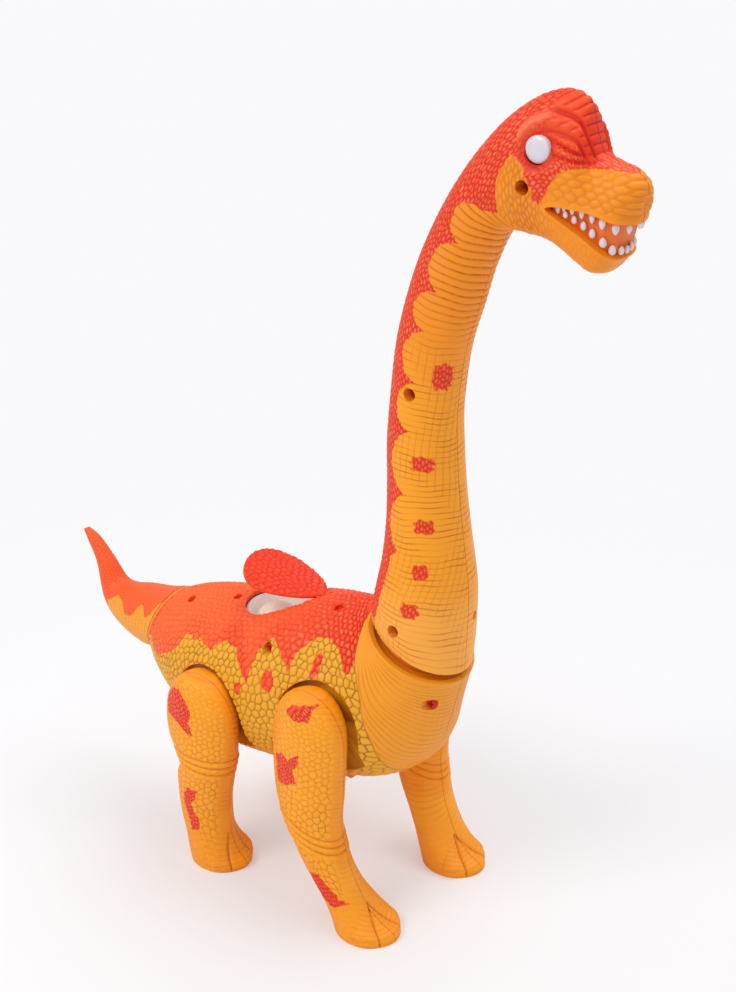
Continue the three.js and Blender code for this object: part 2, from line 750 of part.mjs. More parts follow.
function mouthWedge(grow) {
  return plateXZ([
    [mouthCorner.x - grow, mouthCorner.z + grow * 0.3],
    [mouthCorner.x + 17.5, mouthCorner.z - 2.2 + grow],
    [mouthCorner.x + 31.5, mouthCorner.z - 4.4 + grow],
    [mouthCorner.x + 52.5, mouthCorner.z - 4.6 + grow],
    [mouthCorner.x + 52.5, mouthCorner.z - 18.8 - grow],
    [mouthCorner.x + 33.5, mouthCorner.z - 18.8 - grow],
    [mouthCorner.x + 27.5, mouthCorner.z - 16.2 - grow],
    [mouthCorner.x + 17.5, mouthCorner.z - 10.2 - grow],
    [mouthCorner.x - grow, mouthCorner.z - 1 - grow * 0.3],
  ], -40, 40);
}

// Where each row of teeth runs, a gap away from its lip
const upperTeeth = { corner: { x: 140, z: 378.6 }, front: { x: 172, z: 375.1 }, count: 8 };
const lowerTeeth = { corner: { x: 146, z: 373.2 }, front: { x: 164, z: 363.2 }, count: 7 };
const toothInset = 0.8;

function eyeSocket(side) {
  const origin = new THREE.Vector3(eyeCentre.x, 0, eyeCentre.z);
  const axis = side < 0 ? rightAway : leftAway;
  return { origin, axis };
}

function neckShell() {
  let shell = neckOuter.subtract(neckInner());
  shell = addScrews('neck', shell, neckOuter);
  shell = shell.subtract(mouthWedge(0));
  for (const side of [-1, 1]) {
    const { origin, axis } = eyeSocket(side);
    shell = shell.subtract(rod(origin, axis, eyeRadius + fit, 4, 40, 14));
  }
  const forward = new THREE.Vector3(1, 0.25, 0).normalize();
  const place = new THREE.Vector3(frontHole.x, frontHole.y, frontHole.z);
  return shell.subtract(rod(place, forward, frontHoleRadius, -6, 6, 8));
}

const wholeNeck = neckShell();
addPiece('neck_right', rightHalf(wholeNeck), orangeShell);
addPiece('neck_left', leftHalf(wholeNeck), orangeShell);

// Neck hub: turns in the deck of the collar and carries the neck halves
function neckHub() {
  const deckUnder = -collarDepth - shellWall - runningGap;
  const flangeRadius = neckSpigotRadius + 3;
  const seatRadius = neckSpigotRadius + 2.2;
  return turned([
    [0, deckUnder - hubFlange],
    [flangeRadius, deckUnder - hubFlange],
    [flangeRadius, deckUnder],
    [neckSpigotRadius, deckUnder],
    [neckSpigotRadius, 5.5],
    [seatRadius, 5.5],
    [seatRadius, 8.5],
    [0, 8.5],
  ], collar.centre, collar.axis, 20);
}

addPiece('neck_hub', neckHub(), brightOrange);

// Mouth: the wall behind the lips and two rows of teeth
function mouthWall() {
  const outside = loft(drawnIn(neckStations, shellWall + fit).slice(0, -3), neckInnerSides);
  const inside = loft(drawnIn(neckStations, shellWall + mouthDepth).slice(0, -4), neckInnerSides);
  return outside
    .subtract(inside)
    .intersect(mouthWedge(1.5))
    .subtract(block(100, mouthCorner.x + 1, -40, 40, 340, 420));
}

addPiece('mouth_wall', mouthWall(), deepOrange);

// A row of teeth: a thin band in the thickness of the lips, with one edge cut into teeth
function teethRow(corner, front, count, band, longest) {
  const edge = [];
  for (let k = 0; k < count; k += 1) {
    const length = longest * (0.3 + (0.7 * k) / (count - 1));
    for (const [share, reach] of [[0.1, 0], [0.5, 1], [0.9, 0]]) {
      const t = (k + share) / count;
      const x = corner.x + (front.x - corner.x) * t;
      const z = corner.z + (front.z - corner.z) * t;
      edge.push([x, z + band + length * reach]);
    }
  }
  const outline = [[corner.x, corner.z], [front.x, front.z], [front.x, front.z + band], ...edge.reverse(),
    [corner.x, corner.z + band]];
  const ring = loft(drawnIn(neckStations, toothInset), neckInnerSides)
    .subtract(loft(drawnIn(neckStations, shellWall), neckInnerSides));
  return plateXZ(outline, -40, 40).intersect(ring);
}

addPiece('teeth_upper', teethRow(upperTeeth.corner, upperTeeth.front, upperTeeth.count, -0.8, -3.8), toothWhite);
addPiece('teeth_lower', teethRow(lowerTeeth.corner, lowerTeeth.front, lowerTeeth.count, 0.8, 3.4), toothWhite);

function eyeLens(side) {
  const { origin, axis } = eyeSocket(side);
  return turned([
    [0, 12.5],
    [eyeRadius, 12.5],
    [eyeRadius, 16.2],
    [eyeRadius * 0.75, 17.9],
    [eyeRadius * 0.4, 18.8],
    [0, 19.1],
  ], origin, axis, 14);
}

function eyeLamp(side) {
  const { origin, axis } = eyeSocket(side);
  return turned([
    [0, 6],
    [2.8, 6],
    [2.8, 7],
    [2.4, 7],
    [2.4, 10.5],
    [1.4, 12],
    [0, 12.2],
  ], origin, axis, 8);
}

addPiece('eye_lens_right', eyeLens(-1), milkyPlastic);
addPiece('eye_lens_left', eyeLens(1), milkyPlastic);
addPiece('eye_lamp_right', eyeLamp(-1), whitePlastic);
addPiece('eye_lamp_left', eyeLamp(1), whitePlastic);

// Tail and its hub, with the plain ring that shows between body and tail
function tailRoot(distance, halfLength, half) {
  const centre = along(tailRing, distance);
  const top = centre.clone().addScaledVector(tailRing.up, halfLength);
  const bottom = centre.clone().addScaledVector(tailRing.up, -halfLength);
  return station(top.x, top.z, bottom.x, bottom.z, half);
}

const tailStart = runningGap + tailRingThickness + fit;

function tail() {
  const outer = [tailRoot(tailStart, 19.8, 19.2), ...tailStations];
  const inner = [tailRoot(0, 17, 16.8), ...drawnIn([tailRoot(tailStart, 19.8, 19.2), ...tailStations.slice(0, 4)], 2.6)];
  return loft(outer, 12).subtract(loft(inner, 10));
}

addPiece('tail', tail(), redShell);

function tailHub() {
  const inside = -shellWall - runningGap;
  const ring = loft([
    tailRoot(runningGap, 20.3, 19.6),
    tailRoot(runningGap + tailRingThickness, 20.3, 19.6),
  ], 16);
  const spindle = turned([
    [0, inside - hubFlange],
    [tailSpigotRadius + 2.5, inside - hubFlange],
    [tailSpigotRadius + 2.5, inside],
    [tailSpigotRadius, inside],
    [tailSpigotRadius, runningGap + 1],
    [tailSpigotRadius + 1.2, runningGap + 1],
    [tailSpigotRadius + 1.2, tailStart + 4],
    [0, tailStart + 4],
  ], tailRing.centre, tailRing.axis, 16);
  return ring.add(spindle);
}

addPiece('tail_hub', tailHub(), brightOrange);

// Legs: each an outer and an inner shell round a hollow, and a lever on the axle
function legInner(stations) {
  const kept = drawnIn(stations, legWall).slice(2, -1).filter((s, i) => i % 2 === 0);
  return loft(kept, 6);
}

// The parting plane of a leg leans with it, from the hip's plane to the sole's.
function legParting(hip, away, gap) {
  const slope = (legPlane - soleSpread) / hip.z;
  const normal = new THREE.Vector3(0, 1, slope).normalize();
  const origin = new THREE.Vector3(hip.x, -soleSpread, 0).addScaledVector(normal, gap / 2 * (away > 0 ? -1 : 1));
  return beyond(origin, normal.multiplyScalar(away));
}

function hipAxle(hip) {
  const shoulder = pocketFloor - shellWall - fit;
  const tip = shoulder - runningGap - leverThickness - fit;
  return crossRod(hip, axleRadius, -legPlane + 4, -shoulder, 12)
    .add(crossRod(hip, axleTipRadius, -shoulder - 1, -tip, 10));
}

// Two grooves part the front of the foot into three toes. Each is a wedge over the instep.
function toeGrooves(stations) {
  const sole = stations[stations.length - 1];
  const middle = (sole.topX + sole.bottomX) / 2;
  const half = (sole.topX - sole.bottomX) / 2;
  let grooves = null;
  for (const side of [-1, 1]) {
    const angle = THREE.MathUtils.degToRad(toeAngle * side);
    const out = [Math.cos(angle), Math.sin(angle)];
    const across = [-out[1], out[0]];
    const at = (forward, sideways) => [
      middle + forward * out[0] + sideways * across[0],
      sole.middle + forward * out[1] + sideways * across[1],
    ];
    const wedge = plateXY([
      at(half - toeGrooveDepth, 0),
      at(half + 8, -toeGrooveWidth * 2),
      at(half + 8, toeGrooveWidth * 2),
    ], -1, toeHeight);
    grooves = grooves ? grooves.add(wedge) : wedge;
  }
  return grooves;
}

function legShells(hip, stations) {
  const outline = loft(stations, 10).subtract(toeGrooves(stations));
  const hollow = legInner(stations);
  const outer = outline.subtract(hollow).subtract(legParting(hip, 1, seamGap));
  const boss = crossRod(hip, axleRadius + 2, -legPlane + 3.8, -legPlane + 12, 12).intersect(outline);
  const inner = outline.subtract(hollow).add(boss).subtract(legParting(hip, -1, seamGap)).add(hipAxle(hip));
  return { outer, inner };
}

const leverInner = pocketFloor - shellWall - fit - runningGap - leverThickness;
const barOuter = leverInner - runningGap * 2;
const barInner = barOuter - barThickness;

function hipLever(hip) {
  const y0 = -leverInner - leverThickness;
  const y1 = -leverInner;
  const pin = { x: hip.x, z: hip.z + leverArm };
  const hub = crossRod(hip, axleTipRadius + 3.5, y0, y1, 12);
  const eye = crossRod(pin, leverPinRadius + 2, y0, y1, 8);
  const arm = block(hip.x - 3.2, hip.x + 3.2, y0, y1, hip.z + 2, pin.z);
  const bore = crossRod(hip, axleTipRadius + fit, y0 - 1, y1 + 1, 10);
  const post = crossRod(pin, leverPinRadius, y1 - 1, -barInner + fit, 6);
  return hub.add(eye).add(arm).subtract(bore).add(post);
}

const legs = [
  { name: 'front', hip: frontHip, stations: frontLegStations },
  { name: 'hind', hip: hindHip, stations: hindLegStations },
];

for (const leg of legs) {
  const { outer, inner } = legShells(leg.hip, leg.stations);
  const lever = hipLever(leg.hip);
  addPiece(`leg_${leg.name}_right_outer`, outer, orangeShell);
  addPiece(`leg_${leg.name}_right_inner`, inner, orangeShell);
  addPiece(`hip_lever_${leg.name}_right`, lever, gearNylon);
  addPiece(`leg_${leg.name}_left_outer`, mirrored(outer), orangeShell);
  addPiece(`leg_${leg.name}_left_inner`, mirrored(inner), orangeShell);
  addPiece(`hip_lever_${leg.name}_left`, mirrored(lever), gearNylon);
}

// Side bars: each links the two levers of its side and is pushed to and fro by the crank
function sideBar() {
  const y0 = -barOuter;
  const y1 = -barInner;
  const frontPin = { x: frontHip.x, z: frontHip.z + leverArm };
  const hindPin = { x: hindHip.x, z: hindHip.z + leverArm };
  const rise = (frontPin.z - hindPin.z) / (frontPin.x - hindPin.x);
  const heightAt = (x) => hindPin.z + rise * (x - hindPin.x);
  const half = barHeight / 2;
  const end = 6.5;
  const x0 = hindPin.x - end;
  const x1 = frontPin.x + end;
  let bar = plateXZ([
    [x0, heightAt(x0) - half],
    [x1, heightAt(x1) - half],
    [x1, heightAt(x1) + half],
    [x0, heightAt(x0) + half],
  ], y0, y1);
  const slotHalf = leverPinRadius + fit;
  for (const pin of [frontPin, hindPin]) {
    bar = bar.add(block(pin.x - 5, pin.x + 5, y0, y1, pin.z - 5.5, pin.z + 5.5));
    bar = bar.subtract(block(pin.x - slotHalf, pin.x + slotHalf, y0 - 1, y1 + 1, pin.z - 3.4, pin.z + 3.4));
  }
  const yokeHalf = crankThrow + leverPinRadius + 1;
  const yoke = block(crankShaft.x - 5, crankShaft.x + 5, y0, y1,
    crankShaft.z - yokeHalf - 3, heightAt(crankShaft.x));
  const yokeSlot = block(crankShaft.x - slotHalf, crankShaft.x + slotHalf, y0 - 1, y1 + 1,
    crankShaft.z - yokeHalf, crankShaft.z + yokeHalf);
  return bar.add(yoke).subtract(yokeSlot);
}

addPiece('side_bar_right', sideBar(), gearNylon);
addPiece('side_bar_left', mirrored(sideBar()), gearNylon);

// Gear train
function pitchRadius(teeth) {
  return (gearModule * teeth) / 2;
}

function stepFrom(place, degrees, teethHere, teethThere) {
  const distance = pitchRadius(teethHere) + pitchRadius(teethThere);
  const angle = THREE.MathUtils.degToRad(degrees);
  return { x: place.x + distance * Math.cos(angle), z: place.z + distance * Math.sin(angle) };
}

const secondShaft = stepFrom(crankShaft, toSecondWheel, crankWheelTeeth, stepPinionTeeth);
const firstShaft = stepFrom(secondShaft, toFirstWheel, secondWheelTeeth, stepPinionTeeth);
const motorShaft = stepFrom(firstShaft, toMotor, firstWheelTeeth, pinionTeeth);

// One toothed wheel. facing is the direction, in degrees, in which a tooth (or a gap) lies.
function wheel(place, teeth, facing, gapThere, y0, y1) {
  const pitch = pitchRadius(teeth);
  const tip = pitch + 0.8 * gearModule;
  const root = pitch - 1.1 * gearModule;
  const toothAngle = (2 * Math.PI) / teeth;
  const start = THREE.MathUtils.degToRad(facing) + (gapThere ? toothAngle / 2 : 0);
  const points = [];
  for (let k = 0; k < teeth; k += 1) {
    const middle = start + k * toothAngle;
    for (const [radius, share] of [[root, -0.27], [tip, -0.11], [tip, 0.11], [root, 0.27]]) {
      const angle = middle + share * toothAngle;
      points.push([place.x + radius * Math.cos(angle), place.z + radius * Math.sin(angle)]);
    }
  }
  return plateXZ(points, y0, y1);
}

const layerA = caseNearSide + gearSideGap;
const layerB = layerA + gearFace + gearSideGap;
const layerC = layerB + gearFace + gearSideGap;
const caseFarSide = layerC + gearFace + gearSideGap;
const arbourRadius = 1.2;

function steppedGear(place, wheelTeeth, wheelFacing, wheelLayer, pinionFacing, pinionLayer) {
  const bigWheel = wheel(place, wheelTeeth, wheelFacing, true, wheelLayer, wheelLayer + gearFace);
  const smallWheel = wheel(place, stepPinionTeeth, pinionFacing, false, pinionLayer, pinionLayer + gearFace);
  const boss = crossRod(place, pitchRadius(stepPinionTeeth) - gearModule * 1.3, wheelLayer, pinionLayer + gearFace, 10);
  const arbour = crossRod(place, arbourRadius, caseNearSide - caseWall, caseFarSide + caseWall, 8);
  return bigWheel.add(boss).add(smallWheel).add(arbour);
}

addPiece('step_gear_first', steppedGear(
  firstShaft, firstWheelTeeth, toMotor, layerA, toFirstWheel + 180, layerB,
), gearNylon);
addPiece('step_gear_second', steppedGear(
  secondShaft, secondWheelTeeth, toFirstWheel, layerB, toSecondWheel + 180, layerC,
), gearNylon);

const motorFront = caseFarSide + caseWall + fit;

function motorPinion() {
  const teethPart = wheel(motorShaft, pinionTeeth, toMotor + 180, false, layerA, layerA + gearFace);
  const shaft = crossRod(motorShaft, 1, layerA, motorFront + 2, 12);
  return teethPart.add(shaft);
}

addPiece('motor_pinion', motorPinion(), steel);

function motorBody() {
  const can = crossRod(motorShaft, motorRadius, motorFront, motorFront + motorLength, 18);
  const flats = block(motorShaft.x - motorRadius, motorShaft.x + motorRadius, 0, 60,
    motorShaft.z - motorRadius * 0.8, motorShaft.z + motorRadius * 0.8);
  const shaftHole = crossRod(motorShaft, 1 + fit, motorFront - 1, motorFront + 2 + fit, 12);
  return can.intersect(flats).subtract(shaftHole);
}

addPiece('motor', motorBody(), steel);

const barSideGap = 0.5;
const discInner = barInner - barSideGap - 0.6 - crankDiscThickness;

function crankGear() {
  const teethPart = wheel(crankShaft, crankWheelTeeth, toSecondWheel, true, layerC, layerC + gearFace);
  const shaft = crossRod(crankShaft, crankShaftRadius, -discInner - crankDiscThickness, discInner + crankDiscThickness, 12);
  return teethPart.add(shaft);
}

addPiece('crank_gear', crankGear(), gearNylon);

// The right pin stands above the shaft and the left pin below it, half a turn apart.
function crankDisc(side) {
  const near = side * discInner;
  const far = side * (discInner + crankDiscThickness);
  const y0 = Math.min(near, far);
  const y1 = Math.max(near, far);
  const pin = { x: crankShaft.x, z: crankShaft.z - side * crankThrow };
  const pinFar = side * (barInner - barSideGap);
  const post = crossRod(pin, 1.5, Math.min(near, pinFar), Math.max(near, pinFar), 8);
  const bore = crossRod(crankShaft, crankShaftRadius + 0.2, y0 - 1, y1 + 1, 12);
  return crossRod(crankShaft, crankDiscRadius, y0, y1, 16).add(post).subtract(bore);
}

addPiece('crank_disc_right', crankDisc(-1), gearNylon);
addPiece('crank_disc_left', crankDisc(1), gearNylon);

// Gear case: a pan with a rim on the right and a flat cover on the left
function hull2D(circles, grow) {
  const points = [];
  const steps = 12;
  for (const { place, radius } of circles) {
    for (let k = 0; k < steps; k += 1) {
      const angle = (2 * Math.PI * k) / steps;
      points.push([
        place.x + (radius + grow) * Math.cos(angle),
        place.z + (radius + grow) * Math.sin(angle),
      ]);
    }
  }
  points.sort((a, b) => a[0] - b[0] || a[1] - b[1]);
  const cross = (o, a, b) => (a[0] - o[0]) * (b[1] - o[1]) - (a[1] - o[1]) * (b[0] - o[0]);
  const chain = (list) => {
    const kept = [];
    for (const p of list) {
      while (kept.length > 1 && cross(kept[kept.length - 2], kept[kept.length - 1], p) <= 1e-6) kept.pop();
      kept.push(p);
    }
    kept.pop();
    return kept;
  };
  return [...chain(points), ...chain([...points].reverse())];
}

const trainCircles = [
  { place: crankShaft, radius: pitchRadius(crankWheelTeeth) + gearModule },
  { place: secondShaft, radius: pitchRadius(secondWheelTeeth) + gearModule },
  { place: firstShaft, radius: pitchRadius(firstWheelTeeth) + gearModule },
  { place: motorShaft, radius: pitchRadius(pinionTeeth) + gearModule },
];

function shaftHoles(y0, y1) {
  return crossRod(crankShaft, crankShaftRadius + fit, y0, y1, 16)
    .add(crossRod(secondShaft, arbourRadius + fit, y0, y1, 12))
    .add(crossRod(firstShaft, arbourRadius + fit, y0, y1, 12))
    .add(crossRod(motorShaft, 1 + fit, y0, y1, 12));
}

// Two posts stand the pan off the wall of the front hip pocket, clear of lever and bar.
const casePosts = [
  { x: frontHip.x + 18, z: frontHip.z - 12 },
  { x: frontHip.x - 14, z: frontHip.z - 16 },
];

function casePan() {
  const outer = plateXZ(hull2D(trainCircles, gearSideGap + caseWall), caseNearSide - caseWall, caseFarSide - fit);
  const inner = plateXZ(hull2D(trainCircles, gearSideGap), caseNearSide, caseFarSide + 10);
  let pan = outer.subtract(inner).subtract(shaftHoles(caseNearSide - 5, caseNearSide + 1));
  for (const post of casePosts) {
    pan = pan.add(crossRod(post, 2.5, -pocketFloor + shellWall + fit, caseNearSide - 0.5, 8));
  }
  return pan;
}

function caseCover() {
  const plate = plateXZ(hull2D(trainCircles, gearSideGap + caseWall), caseFarSide, caseFarSide + caseWall);
  return plate.subtract(shaftHoles(caseFarSide - 5, caseFarSide + 10));
}

addPiece('gear_case_right', casePan(), caseGrey);
addPiece('gear_case_left', caseCover(), caseGrey);

// Batteries
function batteryBox() {
  const outer = block(bayRear, bayFront, -bayHalfWidth, bayHalfWidth, bayFoot, bayTop);
  const inner = block(bayRear + bayWall, bayFront - bayWall, -bayHalfWidth + bayWall, bayHalfWidth - bayWall,
    bayFoot - 5, bayTop - bayWall);
  return outer.subtract(inner);
}

addPiece('battery_box', batteryBox(), caseGrey);

function batteryDoor() {
  const skin = bodyOuter.subtract(bodyInner).intersect(doorBlock(0));
  return skin;
}

addPiece('battery_door', batteryDoor(), orangeShell);

for (let k = 0; k < cellCount; k += 1) {
  const y = (k - (cellCount - 1) / 2) * cellPitch;
  const flip = k % 2 === 0 ? 1 : -1;
  const start = flip > 0 ? cellFromX : cellFromX + cellLength;
  const cell = turned([
    [0, 0],
    [cellRadius, 0],
    [cellRadius, cellLength - 1.2],
    [2.7, cellLength - 1.2],
    [2.7, cellLength],
    [0, cellLength],
  ], new THREE.Vector3(start, y, cellHeight), new THREE.Vector3(flip, 0, 0), 10);
  addPiece(`cell_${k + 1}`, cell, cellBlack);
}

function contactPlate(x0) {
  return block(x0, x0 + 0.6, -bayHalfWidth + bayWall + 1, bayHalfWidth - bayWall - 1, cellHeight - 5, cellHeight + 5);
}

addPiece('contact_rear', contactPlate(bayRear + bayWall + fit), steel);
addPiece('contact_front', contactPlate(bayFront - bayWall - fit - 0.6), steel);

// Speaker on the roof of the bay, circuit board on the speaker, switch in the belly
const speakerPlace = new THREE.Vector3(bayRear + bayLength * 0.37, 0, bayTop + fit);

addPiece('speaker', turned([
  [0, 0],
  [speakerRadius * 0.6, 0],
  [speakerRadius, speakerThickness - 1.5],
  [speakerRadius, speakerThickness],
  [0, speakerThickness],
], speakerPlace, new THREE.Vector3(0, 0, 1), 12), speakerBlack);

const boardFoot = speakerPlace.z + speakerThickness + fit;
addPiece('circuit_board', block(
  speakerPlace.x - boardLength / 2,
  speakerPlace.x + boardLength / 2,
  -boardHalfWidth,
  boardHalfWidth,
  boardFoot,
  boardFoot + boardThickness,
), boardGreen);

function powerSwitch() {
  const knob = block(
    switchPlace.x - switchKnobHalf,
    switchPlace.x + switchKnobHalf,
    switchPlace.y - 2,
    switchPlace.y + 2,
    switchPlace.z - 5,
    switchPlace.z + 6.5,
  );
  const plate = block(
    switchPlace.x - switchKnobHalf - switchTravel - 1,
    switchPlace.x + switchKnobHalf + 1,
    switchPlace.y - 4.5,
    switchPlace.y + 4.5,
    switchPlace.z + 6,
    switchPlace.z + 7.4,
  );
  return knob.add(plate);
}

addPiece('power_switch', powerSwitch(), speakerBlack);

for (const screw of screws) addPiece(screw.name, screwPiece(screw), steel);

// The whole toy is centred over its own footprint.
const span = new THREE.Box3().setFromObject(group);
group.position.set(-(span.min.x + span.max.x) / 2, 0, -span.min.z);

export default group;
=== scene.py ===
import json
import math

import bmesh
import bpy
import numpy as np
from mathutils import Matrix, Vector
from mathutils.kdtree import KDTree


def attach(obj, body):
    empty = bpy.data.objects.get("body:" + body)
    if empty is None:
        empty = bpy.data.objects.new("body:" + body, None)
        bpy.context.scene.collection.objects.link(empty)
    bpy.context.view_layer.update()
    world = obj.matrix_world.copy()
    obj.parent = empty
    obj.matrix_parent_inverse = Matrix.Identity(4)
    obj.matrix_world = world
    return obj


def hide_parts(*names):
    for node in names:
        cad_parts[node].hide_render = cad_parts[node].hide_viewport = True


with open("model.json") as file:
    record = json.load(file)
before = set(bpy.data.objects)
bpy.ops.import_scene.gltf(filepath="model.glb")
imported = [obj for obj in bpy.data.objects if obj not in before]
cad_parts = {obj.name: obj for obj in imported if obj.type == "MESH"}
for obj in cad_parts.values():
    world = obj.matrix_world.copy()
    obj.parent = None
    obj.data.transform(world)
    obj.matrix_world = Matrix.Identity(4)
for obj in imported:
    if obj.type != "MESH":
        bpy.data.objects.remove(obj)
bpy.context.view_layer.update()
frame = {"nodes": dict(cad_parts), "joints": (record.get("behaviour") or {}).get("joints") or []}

# A long-necked walking toy dinosaur with an egg hatch in its back.
# Shapes are worked out in millimetres, +X forward and +Z up, and moved into the frame at the end.
MM = 0.001
FRONT_HIP = (30.0, 109.0)
HIND_HIP = (-42.0, 93.0)
swing = next(j for j in frame["joints"] if j["name"] == "leg_front_right_swing")
SHIFT = swing["pos_m"][0] / MM - FRONT_HIP[0]
COARSE = 1.0

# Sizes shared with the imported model
SHELL_WALL = 2.2
SEAM_GAP = 0.3
LEG_PLANE = 45.0
SOLE_SPREAD = 36.8
POCKET_RADIUS = 24.5
POCKET_FLOOR = 31.0
SNUG = 1.0
AXLE_RADIUS = 6.0
RUNNING_GAP = 0.4
FIT = 0.3
COLLAR_DEPTH = 3.0
NECK_SPIGOT = 18.0
TAIL_SPIGOT = 12.0
HATCH_HINGE = (2.4, 154.0)
HATCH_LENGTH = 46.0
HATCH_HALF_WIDTH = 19.0
HATCH_OPEN = 28.0
LID_THICKNESS = 1.6
KNUCKLE_RADIUS = 1.9
KNUCKLE_HALF = 4.2
PIN_RADIUS = 1.0
TRAY_FLOOR = 117.7
TRAY_WALL = 1.6
TRAY_FRONT = -4.5
EGG_RADIUS = 11.5
EGG_HALF_LENGTH = 15.0
EGG_BLUNT = 0.12
CHUTE_EXIT = (-84.0, 70.0)
CHUTE_WALL = 1.5
BORE_RADIUS = 3.1
EYE = (127.7, 402.7)
EYE_RADIUS = 5.7
EYE_RIM = 14.5
MOUTH_CORNER = (134.5, 380.9)
TAIL_RING = 2.2

# Top x and z, bottom x and z, half width, share of the height where it is widest,
# and how square the upper and lower halves are (2 is an ellipse), then the middle across.
def station(top_x, top_z, bottom_x, bottom_z, half, widest=0.5, above=2.0, below=2.0, middle=0.0):
    return (top_x, top_z, bottom_x, bottom_z, half, widest, above, below, middle)


BODY_STATIONS = [
    station(-97.5, 127, -110, 86, 20),
    station(-88, 131.5, -99, 78, 27),
    station(-72, 136.5, -76, 66, 36),
    station(-45, 142.5, -43, 58.5, 42.5),
    station(-20, 149.5, -15, 60, 43.5),
    station(0, 155.5, 8, 64, 43.5, 0.52),
    station(15, 159.5, 28, 67, 43, 0.55, 1.85),
    station(26, 162, 46, 72, 42, 0.58, 1.75),
    station(32, 163, 59.5, 79, 39.5, 0.6, 1.75),
    station(35, 163, 70, 88, 35.5, 0.58, 1.8),
    station(36.5, 162.7, 76.5, 99, 31.5, 0.55, 1.9),
    station(37.5, 162.5, 80.5, 112, 28.3, 0.52),
    station(38, 162.5, 84, 125, 27),
    station(38.3, 162.5, 87.7, 139, 26.5),
]

NECK_STATIONS = [
    station(38.9, 166.6, 88.6, 143.4, 23.6),
    station(38.7, 169, 89.2, 156, 25.2),
    station(40.4, 177, 89.9, 172, 24.7),
    station(42.5, 187, 89.9, 184.5, 23.6),
    station(44.4, 197, 88.8, 195.4, 22),
    station(46.1, 216.5, 85.7, 216, 19.7),
    station(46.2, 236, 83.2, 236, 18.4),
    station(45.9, 256.5, 81.7, 255, 17.8),
    station(47.3, 277, 81.3, 274.5, 16.9),
    station(51.1, 307.5, 84.9, 303, 16.8),
    station(59.1, 336.4, 91.5, 325.5, 16.8),
    station(68, 358, 97.8, 345.5, 16.2),
    station(80.5, 380.3, 107, 363, 16.6),
    station(92.7, 397.4, 116, 364.3, 17.4),
    station(106.8, 412.5, 125, 364.3, 17.8, 0.5, 1.9),
    station(121.5, 422.3, 132.4, 362.7, 17.5, 0.5, 1.7, 2.2),
    station(134.5, 425.6, 138.4, 360, 16.8, 0.52, 1.5, 2.4),
    station(142.9, 421.7, 144.8, 356.3, 15.6, 0.5, 1.5, 2.6),
    station(146.4, 411, 150, 354.2, 14.5, 0.45, 1.6, 2.8),
    station(149.8, 402.6, 155, 354.9, 13.7, 0.45, 1.9, 2.8),
    station(157, 399, 158, 357.2, 13.2, 0.45, 2, 2.8),
    station(164.3, 397.1, 161.2, 361.8, 11.8, 0.45, 2, 2.6),
    station(169.2, 393.2, 163.6, 369.6, 8.5, 0.45),
    station(170.9, 388, 168.8, 379.5, 3.5, 0.45),
]

TAIL_STATIONS = [
    station(-112, 123, -119.5, 87.5, 17.6),
    station(-126.8, 120.3, -132.5, 90, 15.1),
    station(-137.5, 117.6, -146.5, 96, 11.6),
    station(-144, 118.2, -155, 104.5, 8.8),
    station(-152.5, 129, -162, 125.5, 5.2),
    station(-163, 139.5, -168, 135, 3.5),
    station(-169.5, 142.7, -172.6, 140.9, 1.6),
]


# A leg section: forward of the hip, below it, half length, half width, inward lean, tilt.
def leg_section(hip, forward, down, long, wide, inward, tilt=0.0):
    x = hip[0] + forward
    z = hip[1] - down
    lean = tilt * long
    return station(x + long, z - lean, x - long, z + lean, wide, 0.5, 2, 2, inward - LEG_PLANE)


FRONT_LEG = [leg_section(FRONT_HIP, *row) for row in (
    (0, -22.2, 3, 3, 0),
    (0, -20.5, 9, 8, 0),
    (0, -16, 14.8, 11, 0),
    (0, -6, 19.9, 12.8, 0),
    (-1, 29, 19.9, 12.9, 0),
    (-0.8, 48, 17.3, 12.7, 1, 0.15),
    (4.1, 66, 15.6, 12.7, 2.6, 0.35),
    (8.1, 76, 16, 12.7, 3.8, 0.45),
    (14.8, 87, 16.2, 13.2, 5.4, 0.5),
    (21.8, 96, 17, 14.4, 7, 0.35),
    (27.3, 103, 18, 15.8, 8, 0.12),
    (28.9, FRONT_HIP[1], 17.4, 15.4, LEG_PLANE - SOLE_SPREAD),
)]

HIND_LEG = [leg_section(HIND_HIP, *row) for row in (
    (0, -22.2, 3, 3, 0),
    (0, -20.5, 9.4, 8, 0),
    (0, -16, 15.2, 11, 0),
    (-0.3, -6, 20.9, 12.8, 0),
    (-0.7, 13, 21.5, 13, 0),
    (0.6, 24, 18.7, 12.8, 0.6),
    (1.2, 31, 15.9, 12.6, 1, -0.05),
    (-1.2, 38, 16.6, 12.6, 1.7, -0.05),
    (-3.5, 53, 15.2, 12.5, 3, 0.02),
    (-4, 69, 15, 12.8, 5, 0.35),
    (-1.8, 79, 16.2, 14.1, 6.8, 0.35),
    (0.8, 87, 17.7, 15.5, 8, 0.1),
    (1.3, HIND_HIP[1], 17, 15.1, LEG_PLANE - SOLE_SPREAD),
)]


# Small mathematics
def smooth(low, high, value):
    t = np.clip((value - low) / (high - low), 0.0, 1.0)
    return t * t * (3.0 - 2.0 * t)


def bump(distance, width):
    return np.exp(-((distance / width) ** 2))


def blend(share, first, second):
    return first * (1 - share) + second * share


# Reads a table of (place, value) pairs, straight between them.
def read(table, at):
    return np.interp(at, *zip(*table))


def unit(vector):
    return vector / np.linalg.norm(vector)


def hashed(i, j, seed):
    value = np.sin(i * 12.9898 + j * 78.233 + seed * 37.719) * 43758.5453
    return value - np.floor(value)


